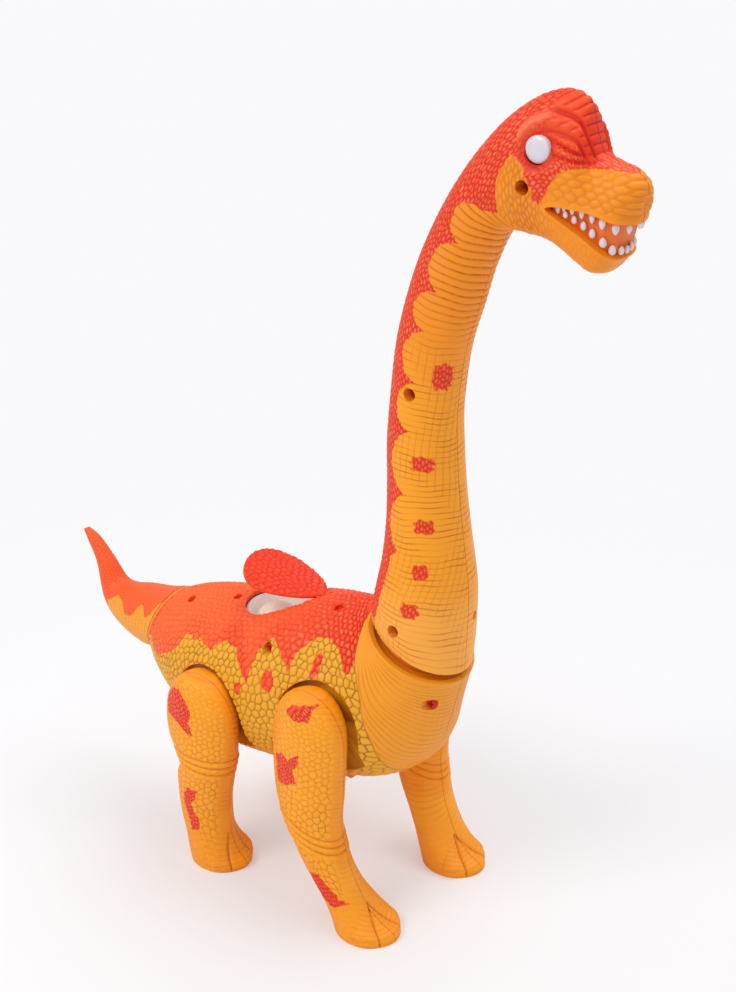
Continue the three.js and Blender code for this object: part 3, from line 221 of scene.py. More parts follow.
# A slow, steady wobble from -1 to 1.
def wobble(a, b, seed=0.0):
    one = np.sin(1.31 * a + 0.87 * b + seed)
    two = np.sin(-0.73 * a + 1.63 * b + 2.1 * seed + 1.0)
    three = np.sin(2.27 * a - 1.11 * b + 3.7 * seed + 2.0)
    return (one + two + three) / 3.0


FAR = 1e9
ROW = 0.87
JITTER = 0.62


# Irregular rounded cells one unit across: how far the nearest edge is, and a tone for each cell.
def cells(u, v, seed, jitter=JITTER):
    line = np.round(v / ROW)
    found = []
    for down in (-1, 0, 1):
        row = line + down
        stagger = 0.5 * np.mod(row, 2)
        column = np.round(u - stagger)
        for over in (-1, 0, 1):
            c = column + over
            x = c + stagger + (hashed(c, row, seed) - 0.5) * jitter
            y = (row + (hashed(c, row, seed + 1) - 0.5) * jitter) * ROW
            found.append((x, y, hashed(c, row, seed + 2)))
    xs, ys, tones = (np.array(part) for part in zip(*found))
    gap = (xs - u) ** 2 + (ys - v) ** 2
    first = gap.argmin(0)[None]
    x1, y1, g1, tone = (np.take_along_axis(a, first, 0)[0] for a in (xs, ys, gap, tones))
    apart = np.hypot(xs - x1, ys - y1)
    np.put_along_axis(apart, first, FAR, 0)
    edge = np.where(apart == FAR, 9.0, (gap - g1) / (2.0 * np.maximum(apart, 1e-6))).min(0)
    return edge, tone


# The groove round a small scale and its rounded crown, by the distance from the scale's edge.
def small_scale(edge):
    return 1.0 - smooth(0.08, 0.42, edge), smooth(0.05, 0.8, edge)


# How far each point is from a line of points, in the line's plane.
def from_line(line, x, z):
    least = np.full(x.shape, FAR)
    for (ax, az), (bx, bz) in zip(line[:-1], line[1:]):
        dx, dz = bx - ax, bz - az
        t = np.clip(((x - ax) * dx + (z - az) * dz) / (dx * dx + dz * dz), 0.0, 1.0)
        least = np.minimum(least, np.hypot(x - ax - t * dx, z - az - t * dz))
    return least


# How far each point is inside an outline (positive) or outside it (negative), in the outline's plane.
def inside(outline, x, z):
    closed = [*outline, outline[0]]
    within = np.zeros(x.shape, bool)
    for (ax, az), (bx, bz) in zip(closed[:-1], closed[1:]):
        crosses = (az > z) != (bz > z)
        with np.errstate(divide="ignore", invalid="ignore"):
            at = ax + (z - az) * (bx - ax) / (bz - az)
        within ^= crosses & (x < at)
    least = from_line(closed, x, z)
    return np.where(within, least, -least)


# Lofted skins
def refined(stations, step):
    table = np.array(stations, float)
    top = np.hypot(*np.diff(table[:, 0:2], axis=0).T)
    bottom = np.hypot(*np.diff(table[:, 2:4], axis=0).T)
    travel = np.sqrt(np.maximum(np.hypot(top, bottom), 1e-6))
    along = np.concatenate([[0.0], np.cumsum(travel)])
    slope = np.gradient(table, along, axis=0)
    rows = []
    for i, width in enumerate(np.diff(along)):
        count = max(int(round(travel[i] ** 2 / step)), 1)
        for u in np.arange(count) / count:
            rows.append(
                (2 * u**3 - 3 * u**2 + 1) * table[i]
                + (u**3 - 2 * u**2 + u) * width * slope[i]
                + (3 * u**2 - 2 * u**3) * table[i + 1]
                + (u**3 - u**2) * width * slope[i + 1]
            )
    rows.append(table[-1])
    return np.array(rows)


def sections(rows, angles):
    up = np.cos(angles)[None]
    side = np.sin(angles)[None]
    top_x, top_z, bottom_x, bottom_z, half, widest, above, below, middle = (
        rows[:, k][:, None] for k in range(9)
    )
    power = np.where(up >= 0, 2.0 / above, 2.0 / below)
    reach = np.abs(up) ** power
    along = np.where(up >= 0, widest * (1 - reach), widest + (1 - widest) * reach)
    across = half * np.abs(side) ** power * np.sign(side)
    x = top_x + (bottom_x - top_x) * along
    z = top_z + (bottom_z - top_z) * along
    return np.stack([x, middle + across, z], -1)


def drawn_in(stations, depth):
    result = []
    for s in stations:
        length = math.hypot(s[0] - s[2], s[1] - s[3])
        share = min(depth / length, 0.48)
        top = (s[0] + (s[2] - s[0]) * share, s[1] + (s[3] - s[1]) * share)
        bottom = (s[2] + (s[0] - s[2]) * share, s[3] + (s[1] - s[3]) * share)
        result.append((*top, *bottom, max(s[4] - depth, 0.3), *s[5:]))
    return result


# The stations with one more past the last, shifted along an axis.
def carried_on(stations, axis, distance):
    s = stations[-1]
    dx, dz = axis[0] * distance, axis[2] * distance
    return [*stations, (s[0] + dx, s[1] + dz, s[2] + dx, s[3] + dz, *s[4:])]


class Skin:
    """A lofted skin as a grid of points, each with its distance along the spine and round the girth."""

    def __init__(self, stations, step, columns):
        rows = refined(stations, step * COARSE)
        columns = int(columns / COARSE / 2) * 2
        angles = np.linspace(0.0, 2.0 * math.pi, columns * 4 + 1)
        rings = sections(rows, angles)
        pieces = np.linalg.norm(np.diff(rings, axis=1), axis=2)
        travelled = np.concatenate([np.zeros((len(rings), 1)), np.cumsum(pieces, 1)], 1)
        self.points = np.empty((len(rings), columns, 3))
        share = np.arange(columns) / columns
        for i, (ring, distance) in enumerate(zip(rings, travelled)):
            for k in range(3):
                self.points[i, :, k] = np.interp(share * distance[-1], distance, ring[:, k])
        signed = np.where(share <= 0.5, share, share - 1.0)
        self.girth = signed[None] * travelled[:, -1:]
        middle = (self.points[:, 0] + self.points[:, columns // 2]) / 2
        steps = np.linalg.norm(np.diff(middle, axis=0), axis=1)
        self.spine = np.concatenate([[0.0], np.cumsum(steps)])[:, None] + 0.0 * self.girth
        across = np.roll(self.points, -1, 1) - np.roll(self.points, 1, 1)
        lengthwise = np.gradient(self.points, axis=0)
        normal = np.cross(lengthwise, across)
        normal /= np.linalg.norm(normal, axis=2, keepdims=True) + 1e-12
        outward = ((self.points - self.points.mean(1, keepdims=True)) * normal).sum()
        self.normal = normal * np.sign(outward)
        self.flat = self.points.reshape(-1, 3)
        self.tree = KDTree(len(self.flat))
        for i, place in enumerate(self.flat):
            self.tree.insert(place, i)
        self.tree.balance()

    def mesh(self):
        return grid_mesh(self.points)


def new_mesh(vertices, faces):
    mesh = bpy.data.meshes.new("shape")
    mesh.from_pydata([tuple(v) for v in vertices], [], [tuple(f) for f in faces])
    mesh.update()
    return mesh


# A closed mesh from rings of points, each end closed by a fan.
def grid_mesh(points):
    rows, columns = points.shape[:2]
    vertices = points.reshape(-1, 3)
    hubs = np.array([points[0].mean(0), points[-1].mean(0)])
    vertices = np.concatenate([vertices, hubs])
    k = np.arange(columns)
    after = (k + 1) % columns
    start = np.arange(rows - 1)[:, None] * columns
    corners = [start + k, start + columns + k, start + columns + after, start + after]
    quads = np.stack(corners, -1).reshape(-1, 4)
    last = (rows - 1) * columns
    near = np.stack([np.full(columns, rows * columns), k, after], -1)
    far = np.stack([np.full(columns, rows * columns + 1), last + after, last + k], -1)
    triangles = np.concatenate([near, far])
    a, b, c = (vertices[quads[:, n]] for n in (0, 1, 2))
    d = vertices[quads[:, 3]]
    volume = (np.cross(a, b) * c).sum() + (np.cross(a, c) * d).sum()
    if volume < 0:
        quads = quads[:, ::-1]
        triangles = triangles[:, ::-1]
    mesh = bpy.data.meshes.new("loft")
    mesh.vertices.add(len(vertices))
    mesh.vertices.foreach_set("co", vertices.astype(np.float32).ravel())
    loops = np.concatenate([quads.ravel(), triangles.ravel()]).astype(np.int32)
    mesh.loops.add(len(loops))
    mesh.loops.foreach_set("vertex_index", loops)
    mesh.polygons.add(len(quads) + len(triangles))
    begins = np.concatenate([np.arange(len(quads)) * 4, len(quads) * 4 + np.arange(len(triangles)) * 3])
    mesh.polygons.foreach_set("loop_start", begins.astype(np.int32))
    mesh.update(calc_edges=True)
    mesh.validate()
    return mesh


def loft_mesh(stations, step=3.0, columns=72):
    rings = sections(refined(stations, step), np.linspace(0, 2 * math.pi, columns + 1)[:-1])
    return grid_mesh(rings)


# Plain closed solids for cutting and for small pieces
def outward(mesh):
    work = bmesh.new()
    work.from_mesh(mesh)
    bmesh.ops.recalc_face_normals(work, faces=work.faces)
    work.to_mesh(mesh)
    work.free()
    return mesh


def prism(outline, low, high, place):
    count = len(outline)
    vertices = [place(u, v, low) for u, v in outline] + [place(u, v, high) for u, v in outline]
    faces = [list(range(count)), list(range(count, 2 * count))]
    for k in range(count):
        after = (k + 1) % count
        faces.append([k, after, count + after, count + k])
    return outward(new_mesh(vertices, faces))


def plate_xz(outline, y0, y1):
    return prism(outline, y0, y1, lambda u, v, w: (u, w, v))


def plate_xy(outline, z0, z1):
    return prism(outline, z0, z1, lambda u, v, w: (u, v, w))


def box(x0, x1, y0, y1, z0, z1):
    return plate_xy([(x0, y0), (x1, y0), (x1, y1), (x0, y1)], z0, z1)


def frame_of(axis):
    axis = unit(np.array(axis, float))
    helper = np.array([0.0, 0.0, 1.0]) if abs(axis[2]) < 0.9 else np.array([1.0, 0.0, 0.0])
    first = unit(np.cross(helper, axis))
    return axis, first, np.cross(axis, first)


# A turned piece from pairs of (radius, distance along the axis), starting and ending on the axis.
def turned(profile, origin, axis, sides=48):
    axis, first, second = frame_of(axis)
    origin = np.array(origin, float)
    vertices = []
    rings = []
    for radius, along in profile:
        centre = origin + axis * along
        if radius < 1e-9:
            rings.append([len(vertices)])
            vertices.append(centre)
            continue
        ring = []
        for k in range(sides):
            angle = 2 * math.pi * k / sides
            ring.append(len(vertices))
            vertices.append(centre + radius * (first * math.cos(angle) + second * math.sin(angle)))
        rings.append(ring)
    faces = []
    for here, there in zip(rings[:-1], rings[1:]):
        for k in range(sides):
            after = (k + 1) % sides
            if len(here) == 1:
                faces.append((here[0], there[k], there[after]))
            elif len(there) == 1:
                faces.append((here[k], there[0], here[after]))
            else:
                faces.append((here[k], there[k], there[after], here[after]))
    return outward(new_mesh(vertices, faces))


def rod(origin, axis, radius, start, end, sides=48):
    return turned([(0, start), (radius, start), (radius, end), (0, end)], origin, axis, sides)


def cross_rod(place, radius, y0, y1, sides=48):
    return rod((place[0], 0, place[1]), (0, 1, 0), radius, y0, y1, sides)


# Everything beyond a plane, as a large block.
def beyond(origin, axis, reach=700.0):
    axis, first, second = frame_of(axis)
    origin = np.array(origin, float)
    square = [(-reach, -reach), (reach, -reach), (reach, reach), (-reach, reach)]
    return prism(square, 0.0, reach, lambda u, v, w: origin + u * first + v * second + w * axis)


CUT, JOIN, KEEP = "DIFFERENCE", "UNION", "INTERSECT"


# A mesh after a list of (operation, other mesh) steps.
def carved(base, steps):
    scene = bpy.context.scene
    worked = bpy.data.objects.new("worked", base)
    scene.collection.objects.link(worked)
    helpers = []
    for operation, other in steps:
        helper = bpy.data.objects.new("helper", other)
        scene.collection.objects.link(helper)
        helpers.append(helper)
        modifier = worked.modifiers.new("step", "BOOLEAN")
        modifier.operation = operation
        modifier.solver = "MANIFOLD"
        modifier.object = helper
    ready = worked.evaluated_get(bpy.context.evaluated_depsgraph_get())
    result = bpy.data.meshes.new_from_object(ready)
    for item in [worked, *helpers]:
        bpy.data.objects.remove(item)
    return result


# The same mesh on the other side of the middle plane.
def mirrored(mesh):
    twin = mesh.copy()
    place = coordinates(twin)
    place[:, 1] *= -1
    twin.vertices.foreach_set("co", place.astype(np.float32).ravel())
    twin.flip_normals()
    twin.update()
    return twin


def joined(meshes):
    work = bmesh.new()
    for mesh in meshes:
        work.from_mesh(mesh)
    result = bpy.data.meshes.new("joined")
    work.to_mesh(result)
    work.free()
    return result


def coordinates(mesh):
    place = np.empty(len(mesh.vertices) * 3, np.float32)
    mesh.vertices.foreach_get("co", place)
    return place.reshape(-1, 3).astype(float)


# Relief and paint
ON_SKIN = 0.07
CREASE_ANGLE = 50.0


# Presses a relief into the vertices on a skin, and keeps its paint values as attributes.
def dressed(mesh, skin, relief):
    place = coordinates(mesh)
    index = np.array([skin.tree.find(p)[1] for p in place])
    normal = skin.normal.reshape(-1, 3)[index]
    offset = place - skin.flat[index]
    off = np.abs((offset * normal).sum(1))
    on = (off < ON_SKIN) & (np.linalg.norm(offset, axis=1) < 1.6 * COARSE)
    values = relief(place, normal, skin.spine.reshape(-1)[index], skin.girth.reshape(-1)[index])
    lift = np.where(on, values.pop("lift"), 0.0)
    place += normal * lift[:, None]
    mesh.vertices.foreach_set("co", place.astype(np.float32).ravel())
    for name, value in values.items():
        attribute = mesh.attributes.new(name, "FLOAT", "POINT")
        attribute.data.foreach_set("value", value.astype(np.float32))
    mesh.update()
    return mesh


# Moves a mesh from millimetres into the frame, smooth but for its sharp edges.
def into_frame(mesh):
    place = coordinates(mesh)
    place[:, 0] += SHIFT
    mesh.vertices.foreach_set("co", (place * MM).astype(np.float32).ravel())
    mesh.polygons.foreach_set("use_smooth", np.ones(len(mesh.polygons), bool))
    mesh.set_sharp_from_angle(angle=math.radians(CREASE_ANGLE))
    mesh.update()


# Carving leaves an empty material slot, so the slots are cleared before the piece gets its own.
def add_piece(name, mesh, body, slot, material, *replaced):
    into_frame(mesh)
    mesh.name = name
    mesh.materials.clear()
    mesh.materials.append(material)
    piece = bpy.data.objects.new(name, mesh)
    bpy.context.scene.collection.objects.link(piece)
    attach(piece, body)
    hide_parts(*replaced)


# Materials
def colour(red, green, blue):
    def linear(value):
        value /= 255.0
        return value / 12.92 if value <= 0.04045 else ((value + 0.055) / 1.055) ** 2.4
    return (linear(red), linear(green), linear(blue), 1.0)


class Nodes:
    """Short calls for building a material's nodes."""

    def __init__(self, name):
        self.material = bpy.data.materials.new(name)
        self.material.use_nodes = True
        self.tree = self.material.node_tree
        self.shader = self.tree.nodes["Principled BSDF"]

    def link(self, source, target):
        self.tree.links.new(source, target)

    def attribute(self, name):
        node = self.tree.nodes.new("ShaderNodeAttribute")
        node.attribute_name = name
        return node.outputs["Fac"]

    def place(self):
        return self.tree.nodes.new("ShaderNodeTexCoord").outputs["Object"]

    def noise(self, scale, detail=3.0, roughness=0.55):
        node = self.tree.nodes.new("ShaderNodeTexNoise")
        node.inputs["Scale"].default_value = scale
        node.inputs["Detail"].default_value = detail
        node.inputs["Roughness"].default_value = roughness
        self.link(self.place(), node.inputs["Vector"])
        return node.outputs["Fac"]

    # Gives each socket its value, which is a number, a colour or another node's output.
    def feed(self, sockets, values):
        for socket, value in zip(sockets, values):
            if isinstance(value, (int, float, tuple)):
                socket.default_value = value
            else:
                self.link(value, socket)

    def sum(self, operation, first, second):
        node = self.tree.nodes.new("ShaderNodeMath")
        node.operation = operation
        self.feed(node.inputs, (first, second))
        return node.outputs[0]

    # Maps a value from one range to another, held at the ends.
    def ranged(self, value, low, high, to_low=0.0, to_high=1.0):
        node = self.tree.nodes.new("ShaderNodeMapRange")
        node.interpolation_type = "SMOOTHSTEP"
        ends = {"From Min": low, "From Max": high, "To Min": to_low, "To Max": to_high}
        for name, number in ends.items():
            node.inputs[name].default_value = number
        self.link(value, node.inputs["Value"])
        return node.outputs["Result"]

    def mixed(self, factor, first, second):
        node = self.tree.nodes.new("ShaderNodeMix")
        node.data_type = "RGBA"
        self.feed((node.inputs[0], node.inputs[6], node.inputs[7]), (factor, first, second))
        return node.outputs[2]

    def bumped(self, height, depth):
        node = self.tree.nodes.new("ShaderNodeBump")
        node.inputs["Strength"].default_value = 0.6
        node.inputs["Distance"].default_value = depth
        self.link(height, node.inputs["Height"])
        self.link(node.outputs["Normal"], self.shader.inputs["Normal"])


# Sprayed plastic skin: a plain colour, a second one by zone, and red where the paint value is above 0.
# Grooves are darker, crowns a little paler, and the colour is stronger where the deep value is high.
def skin_material(name, plain, second, deeper):
    nodes = Nodes(name)
    groove = nodes.ranged(nodes.attribute("groove"), 0.0, 1.0)
    tone = nodes.attribute("tone")
    depth = nodes.attribute("deep")
    ragged = nodes.sum("MULTIPLY", nodes.sum("SUBTRACT", nodes.noise(420.0, 4.0), 0.5), 2.2)
    painted = nodes.ranged(nodes.sum("ADD", nodes.attribute("paint"), ragged), -0.25, 0.45)
    zone = nodes.ranged(nodes.attribute("zone"), 0.0, 1.0)
    base = nodes.mixed(zone, colour(*plain[0]), colour(*second[0]))
    base = nodes.mixed(depth, base, colour(*deeper))
    # Crowns are paler by the tone value: a painted highlight, mixed with a random tone per cell.
    lit = nodes.mixed(nodes.ranged(tone, 0.0, 1.0, 0.0, 0.3), base, colour(*plain[2]))
    hollow = nodes.mixed(zone, colour(*plain[1]), colour(*second[1]))
    red = nodes.mixed(depth, colour(*WARM_RED), colour(*DEEP_RED))
    crown = nodes.mixed(nodes.ranged(tone, 0.3, 1.0, 0.0, 0.8), red, colour(*PALE_RED_HIGHLIGHT))
    # Grooves take darker colours: painted shade in the creases.
    groove_shade = nodes.mixed(depth, colour(*WARM_GROOVE_SHADE), colour(*DEEP_GROOVE_SHADE))
    skin = nodes.mixed(groove, lit, hollow)
    paint = nodes.mixed(groove, crown, groove_shade)
    nodes.link(nodes.mixed(painted, skin, paint), nodes.shader.inputs["Base Color"])
    nodes.shader.inputs["Specular IOR Level"].default_value = 0.3
    grain = nodes.noise(1900.0, 2.0)
    nodes.link(nodes.ranged(grain, 0.2, 0.8, 0.36, 0.5), nodes.shader.inputs["Roughness"])
    nodes.bumped(grain, 0.00006)
    return nodes.material


# Moulded plastic: a colour that drifts a little, with fine grain, and where glow is above 0 a painted
# glow in its own colour.
def moulded_material(name, shade, darker, roughness=0.45, grain=1500.0, depth=0.00004, metal=0, glow=0):
    nodes = Nodes(name)
    drift = nodes.ranged(nodes.noise(60.0, 3.0), 0.3, 0.75)
    nodes.link(nodes.mixed(drift, colour(*shade), colour(*darker)), nodes.shader.inputs["Base Color"])
    fine = nodes.noise(grain, 2.0)
    rough = nodes.ranged(fine, 0.2, 0.8, roughness - 0.06, roughness + 0.08)
    nodes.link(rough, nodes.shader.inputs["Roughness"])
    nodes.shader.inputs["Metallic"].default_value = metal
    nodes.shader.inputs["Emission Color"].default_value = colour(*shade)
    nodes.shader.inputs["Emission Strength"].default_value = glow
    nodes.bumped(fine, depth)
    return nodes.material


# Colours: a base, its grooves (painted shade) and, for the first of a pair, its crowns (painted
# highlight)
WARM_RED = (250, 108, 46)
DEEP_RED = (238, 54, 10)
PALE_RED_HIGHLIGHT = (247, 122, 84)
WARM_GROOVE_SHADE = (236, 62, 14)
DEEP_GROOVE_SHADE = (206, 12, 4)
MUSTARD = ((238, 168, 34), (164, 98, 16), (242, 184, 56))
CHEST = ((247, 156, 30), (204, 112, 22))
DEEP_MUSTARD = (240, 150, 24)
NECK_ORANGE = ((252, 160, 24), (196, 104, 20), (254, 172, 50))
NECK_FOOT = ((255, 172, 66), (216, 120, 36))
DEEP_ORANGE = (246, 138, 16)
LEG_ORANGE = ((255, 164, 28), (206, 112, 22), (255, 184, 66))
LEG_FRONT = ((252, 152, 16), (216, 116, 20))
DEEP_LEG = (250, 144, 14)
SMOOTH_GRAIN = 900.0
FLAT = 0.00001

body_skin_material = skin_material("sprayed_body", MUSTARD, CHEST, DEEP_MUSTARD)
neck_skin_material = skin_material("sprayed_neck", NECK_ORANGE, NECK_FOOT, DEEP_ORANGE)
leg_skin_material = skin_material("sprayed_leg", LEG_ORANGE, LEG_FRONT, DEEP_LEG)
bright_orange = moulded_material("bright_orange_plastic", (246, 140, 34), (236, 124, 24), 0.4)
deep_orange = moulded_material("deep_orange_plastic", (244, 124, 30), (236, 104, 20))
# The white plastic and the egg glow faintly: painted light that brightens them as if they were better
# lit.
white_gloss_painted_glow = moulded_material(
    "white_plastic_painted_glow", (250, 249, 250), (245, 244, 245), 0.25, SMOOTH_GRAIN, FLAT, glow=0.1,
)
egg_gloss_painted_glow = moulded_material(
    "egg_plastic_painted_glow", (246, 236, 218), (238, 226, 204), 0.3, SMOOTH_GRAIN, FLAT, glow=0.06,
)
tooth_gloss = moulded_material(
    "tooth_plastic", (236, 228, 230), (222, 210, 214), 0.28, SMOOTH_GRAIN, 2 * FLAT,
)
milky = moulded_material("milky_eye_plastic", (226, 220, 226), (214, 206, 214), 0.2, SMOOTH_GRAIN, FLAT)
nylon = moulded_material("nylon", (232, 228, 214), (220, 215, 198), 0.42)
case_grey = moulded_material("grey_case_plastic", (118, 122, 128), (104, 108, 114), 0.5)
steel = moulded_material("plated_steel", (186, 190, 196), (166, 170, 176), 0.3, 2600.0, 3 * FLAT, 1.0)
board_green = moulded_material("board_green_mask", (44, 104, 66), (36, 92, 58), 0.35)
cell_jacket = moulded_material("cell_jacket_plastic", (52, 56, 62), (42, 45, 50), 0.3)
# The screws are deep red: painted shade for the deep red seen down the screw holes.
screw_red_painted_shade = moulded_material("red_steel_painted_hole_shade", (214, 12, 4), (196, 10, 4), 0.6, 1800.0, 3 * FLAT)
black_plastic = moulded_material("black_plastic_moulded", (34, 36, 40), (26, 28, 32))


# The planes of the two turning joints
class Joint:
    def __init__(self, s):
        top = np.array([s[0], 0.0, s[1]])
        bottom = np.array([s[2], 0.0, s[3]])
        self.centre = (top + bottom) / 2
        self.up = unit(top - bottom)
        self.half = np.linalg.norm(top - bottom) / 2

    def along(self, distance):
        return self.centre + self.axis * distance


collar = Joint(BODY_STATIONS[-1])
collar.axis = np.array([collar.up[2], 0.0, -collar.up[0]])
tail_ring = Joint(BODY_STATIONS[0])
tail_ring.axis = np.array([-tail_ring.up[2], 0.0, tail_ring.up[0]])

# Screws that enter from the right: place, where the bore meets the skin, where the head sits
SCREWS = {
    "chest_screw": ("body", (79.8, 128.2), 18.5, 12.0),
    "flank_screw": ("body", (-7.2, 136.2), 34.0, 29.0),
    "rump_screw": ("body", (-45.0, 71.0), 30.0, 24.0),
    "neck_screw_lower": ("neck", (64.5, 167.0), 24.5, 16.0),
    "neck_screw_upper": ("neck", (66.3, 283.8), 16.5, 10.5),
    "head_screw": ("neck", (123.3, 387.4), 17.0, 10.5),
}
SCREW_LENGTH = 14.0
SCREW_RADIUS = 1.3
POST_WALL = 1.5
BACK_WELLS = [(-79.0, -12.0, 131.6), (-50.5, -7.0, 140.6), (19.3, -10.0, 158.9)]
WELL_AXIS = unit(np.array([0.0, 0.32, -1.0]))


def screw_posts(part):
    for kind, place, mouth, seat in SCREWS.values():
        if kind == part:
            yield CUT, cross_rod(place, BORE_RADIUS + POST_WALL, -mouth - 6, mouth + 6, 24)


def screw_bores(part):
    for kind, place, mouth, seat in SCREWS.values():
        if kind == part:
            yield CUT, cross_rod(place, BORE_RADIUS, -90, -seat, 40)
            yield CUT, cross_rod(place, SCREW_RADIUS + FIT, -seat - 1, 4, 16)


def hip_pocket(hip, grow):
    radius = POCKET_RADIUS + grow
    flare = radius + 8
    outline = []
    for k in range(49):
        angle = math.pi * k / 48
        outline.append((hip[0] + radius * math.cos(angle), hip[1] + radius * math.sin(angle)))
    outline += [
        (hip[0] - radius, hip[1] - radius * 0.4),
        (hip[0] - flare, 0.0),
        (hip[0] + flare, 0.0),
        (hip[0] + radius, hip[1] - radius * 0.4),
    ]
    pocket = plate_xz(outline, -90, grow - POCKET_FLOOR)
    return joined([pocket, mirrored(pocket)])


HATCH_FRONT = HATCH_HINGE[0] - KNUCKLE_RADIUS + 0.5
HATCH_MIDDLE = HATCH_FRONT - HATCH_LENGTH * 0.6


def hatch_outline(grow, steps=96):
    points = []
    for k in range(steps):
        angle = 2 * math.pi * k / steps
        behind = math.cos(angle) < 0
        reach = HATCH_LENGTH * (0.4 if behind else 0.6) + grow
        half = (HATCH_HALF_WIDTH + grow) * (1.0 if behind else 1 - 0.25 * math.cos(angle))
        points.append((HATCH_MIDDLE + reach * math.cos(angle), half * math.sin(angle)))
    return points


BAY = dict(x0=-37.0, x1=17.5, half=22.3, top=76.5)
CHUTE_TOP = TRAY_FLOOR - 2 * RUNNING_GAP - 1.6
CHUTE_ENTRY = np.array([HATCH_MIDDLE - 6.4, 0.0, CHUTE_TOP])
CHUTE_AXIS = unit(np.array([CHUTE_EXIT[0], 0.0, CHUTE_EXIT[1]]) - CHUTE_ENTRY)
CHUTE_INNER = EGG_RADIUS + 1.2
CHUTE_OUTER = CHUTE_INNER + CHUTE_WALL
FAR_UP = 190.0


def knuckle_notch():
    return box(
        HATCH_HINGE[0] - 6, HATCH_HINGE[0] + KNUCKLE_RADIUS + 0.6,
        -KNUCKLE_HALF - RUNNING_GAP, KNUCKLE_HALF + RUNNING_GAP,
        HATCH_HINGE[1] - KNUCKLE_RADIUS - 1.2, FAR_UP,
    )


def door_block(grow):
    half = BAY["half"] + grow
    return box(BAY["x0"] - grow, BAY["x1"] + grow, -half, half, 30, BAY["top"] + grow)


# Body pattern
SCALE_BORDER = (
    (84.0, 63.0), (107.5, 59.4), (116.1, 56.2), (129.0, 51.9),
    (139.7, 46.3), (145.6, 42.8), (159.0, 38.4),
)
RED_EDGE = (
    (-115.0, 112.0), (-97.0, 104.0), (-91.0, 101.0), (-85.9, 104.0), (-72.0, 113.5), (-66.3, 122.7),
    (-54.5, 124.8), (-44.5, 123.5), (-40.6, 128.6), (-35.1, 130.7), (-26.8, 129.0), (-18.0, 120.0),
    (-14.2, 118.0), (-12.8, 134.2), (-7.8, 140.9), (0.9, 138.5), (7.0, 134.0), (9.6, 131.0),
    (11.4, 140.9), (17.9, 147.7), (26.8, 149.7), (34.7, 145.0), (40.0, 139.0), (42.3, 138.5),
    (44.0, 146.0),
)
BODY_SPOTS = ((-20.0, 113.5, 2.6, 3.6), (-1.1, 123.5, 4.2, 5.2), (24.5, 137.5, 2.4, 6.5))
SIZE_ALONG = ((0.0, 3.0), (30.0, 3.3), (70.0, 4.2), (110.0, 4.6), (160.0, 4.2), (230.0, 4.0))
SIZE_ROUND = ((0.0, 3.0), (20.0, 3.4), (45.0, 4.6), (80.0, 5.0), (120.0, 4.2), (170.0, 4.0))
CHEST_CORNER = (40.0, 164.0)
CHEST_STEP = 0.076


# Turns a distance into a count of cells whose size changes along the way.
def counted(distance, sizes):
    knots = np.linspace(0.0, sizes[-1][0], 400)
    size = read(sizes, knots)
    count = np.concatenate([[0.0], np.cumsum(np.diff(knots) / ((size[1:] + size[:-1]) / 2))])
    return np.sign(distance) * np.interp(np.abs(distance), knots, count)


# How far a phase is from the nearest whole number.
def line_distance(phase):
    return np.abs(phase - np.round(phase))


# Grooves at every whole number of a phase.
def line_groove(phase, pitch, width):
    return 1.0 - smooth(0.2 * width, width, line_distance(phase) * pitch)


# Lines of the chest: rays from the top corner of the collar, and a few that cross them in front.
def chest_lines(x, y, z):
    dx, dz = x - CHEST_CORNER[0], CHEST_CORNER[1] - z
    run = np.hypot(dx, dz)
    turn = np.arctan2(dz, dx) + 0.0042 * run + 0.02 * wobble(run / 11.0, 0.0, 2.0)
    rays = np.zeros(x.shape)
    for offset, least in ((0.0, 22.0), (0.5, 44.0)):
        nearest = line_distance(turn / CHEST_STEP + offset) * CHEST_STEP * run
        ray = (1.0 - smooth(0.15, 0.62, nearest)) * smooth(least - 8.0, least + 6.0, run)
        rays = np.maximum(rays, ray)
    rays = rays * (0.62 + 0.2 * wobble(x / 6.0, z / 6.0, 9.0))
    front = smooth(24.0, 12.0, np.abs(y)) * smooth(60.0, 74.0, x) * smooth(138.0, 124.0, z)
    crossing = line_groove(y / 3.2 + 0.1 * wobble(z / 8.0, y / 5.0), 3.2, 0.4)
    return np.maximum(rays, 0.4 * crossing * front)


# The red of the body, above 0 inside it: the back down to its zigzag edge, and a few spots.
def body_paint(x, z, border):
    red = z - read(RED_EDGE, x) + 0.9 * wobble(x / 3.0, z / 3.0, 4.0)
    red = np.minimum(red, border - x + 0.2)
    for spot_x, spot_z, long, tall in BODY_SPOTS:
        away = np.hypot((x - spot_x) / long, (z - spot_z) / tall)
        spot = (1.0 - away) * min(long, tall) + 0.5 * wobble(x / 1.5, z / 1.5, 5.0)
        red = np.maximum(red, spot)
    return red


# How strong the red back's grooves are and how deep its red: more in front, low down and on the lid.
def back_depths(x, y, z):
    low = smooth(16.0, 4.0, z - read(RED_EDGE, x))
    over_tray = smooth(TRAY_FLOOR, TRAY_FLOOR + 12.0, z)
    lid = smooth(-1.0, 1.0, inside(hatch_outline(0.0, 24), x, y)) * over_tray
    grooves = np.interp(x, (-90.0, 0.0, 30.0), (0.3, 0.5, 1.0))
    grooves = np.maximum(grooves, np.maximum(0.75 * low, 0.7 * lid))
    red = np.interp(x, (-70.0, -20.0, 20.0), (0.1, 0.35, 0.75))
    red = np.maximum(red, np.maximum(0.95 * lid, 0.6 * low * smooth(-60.0, -30.0, x)))
    return grooves, red


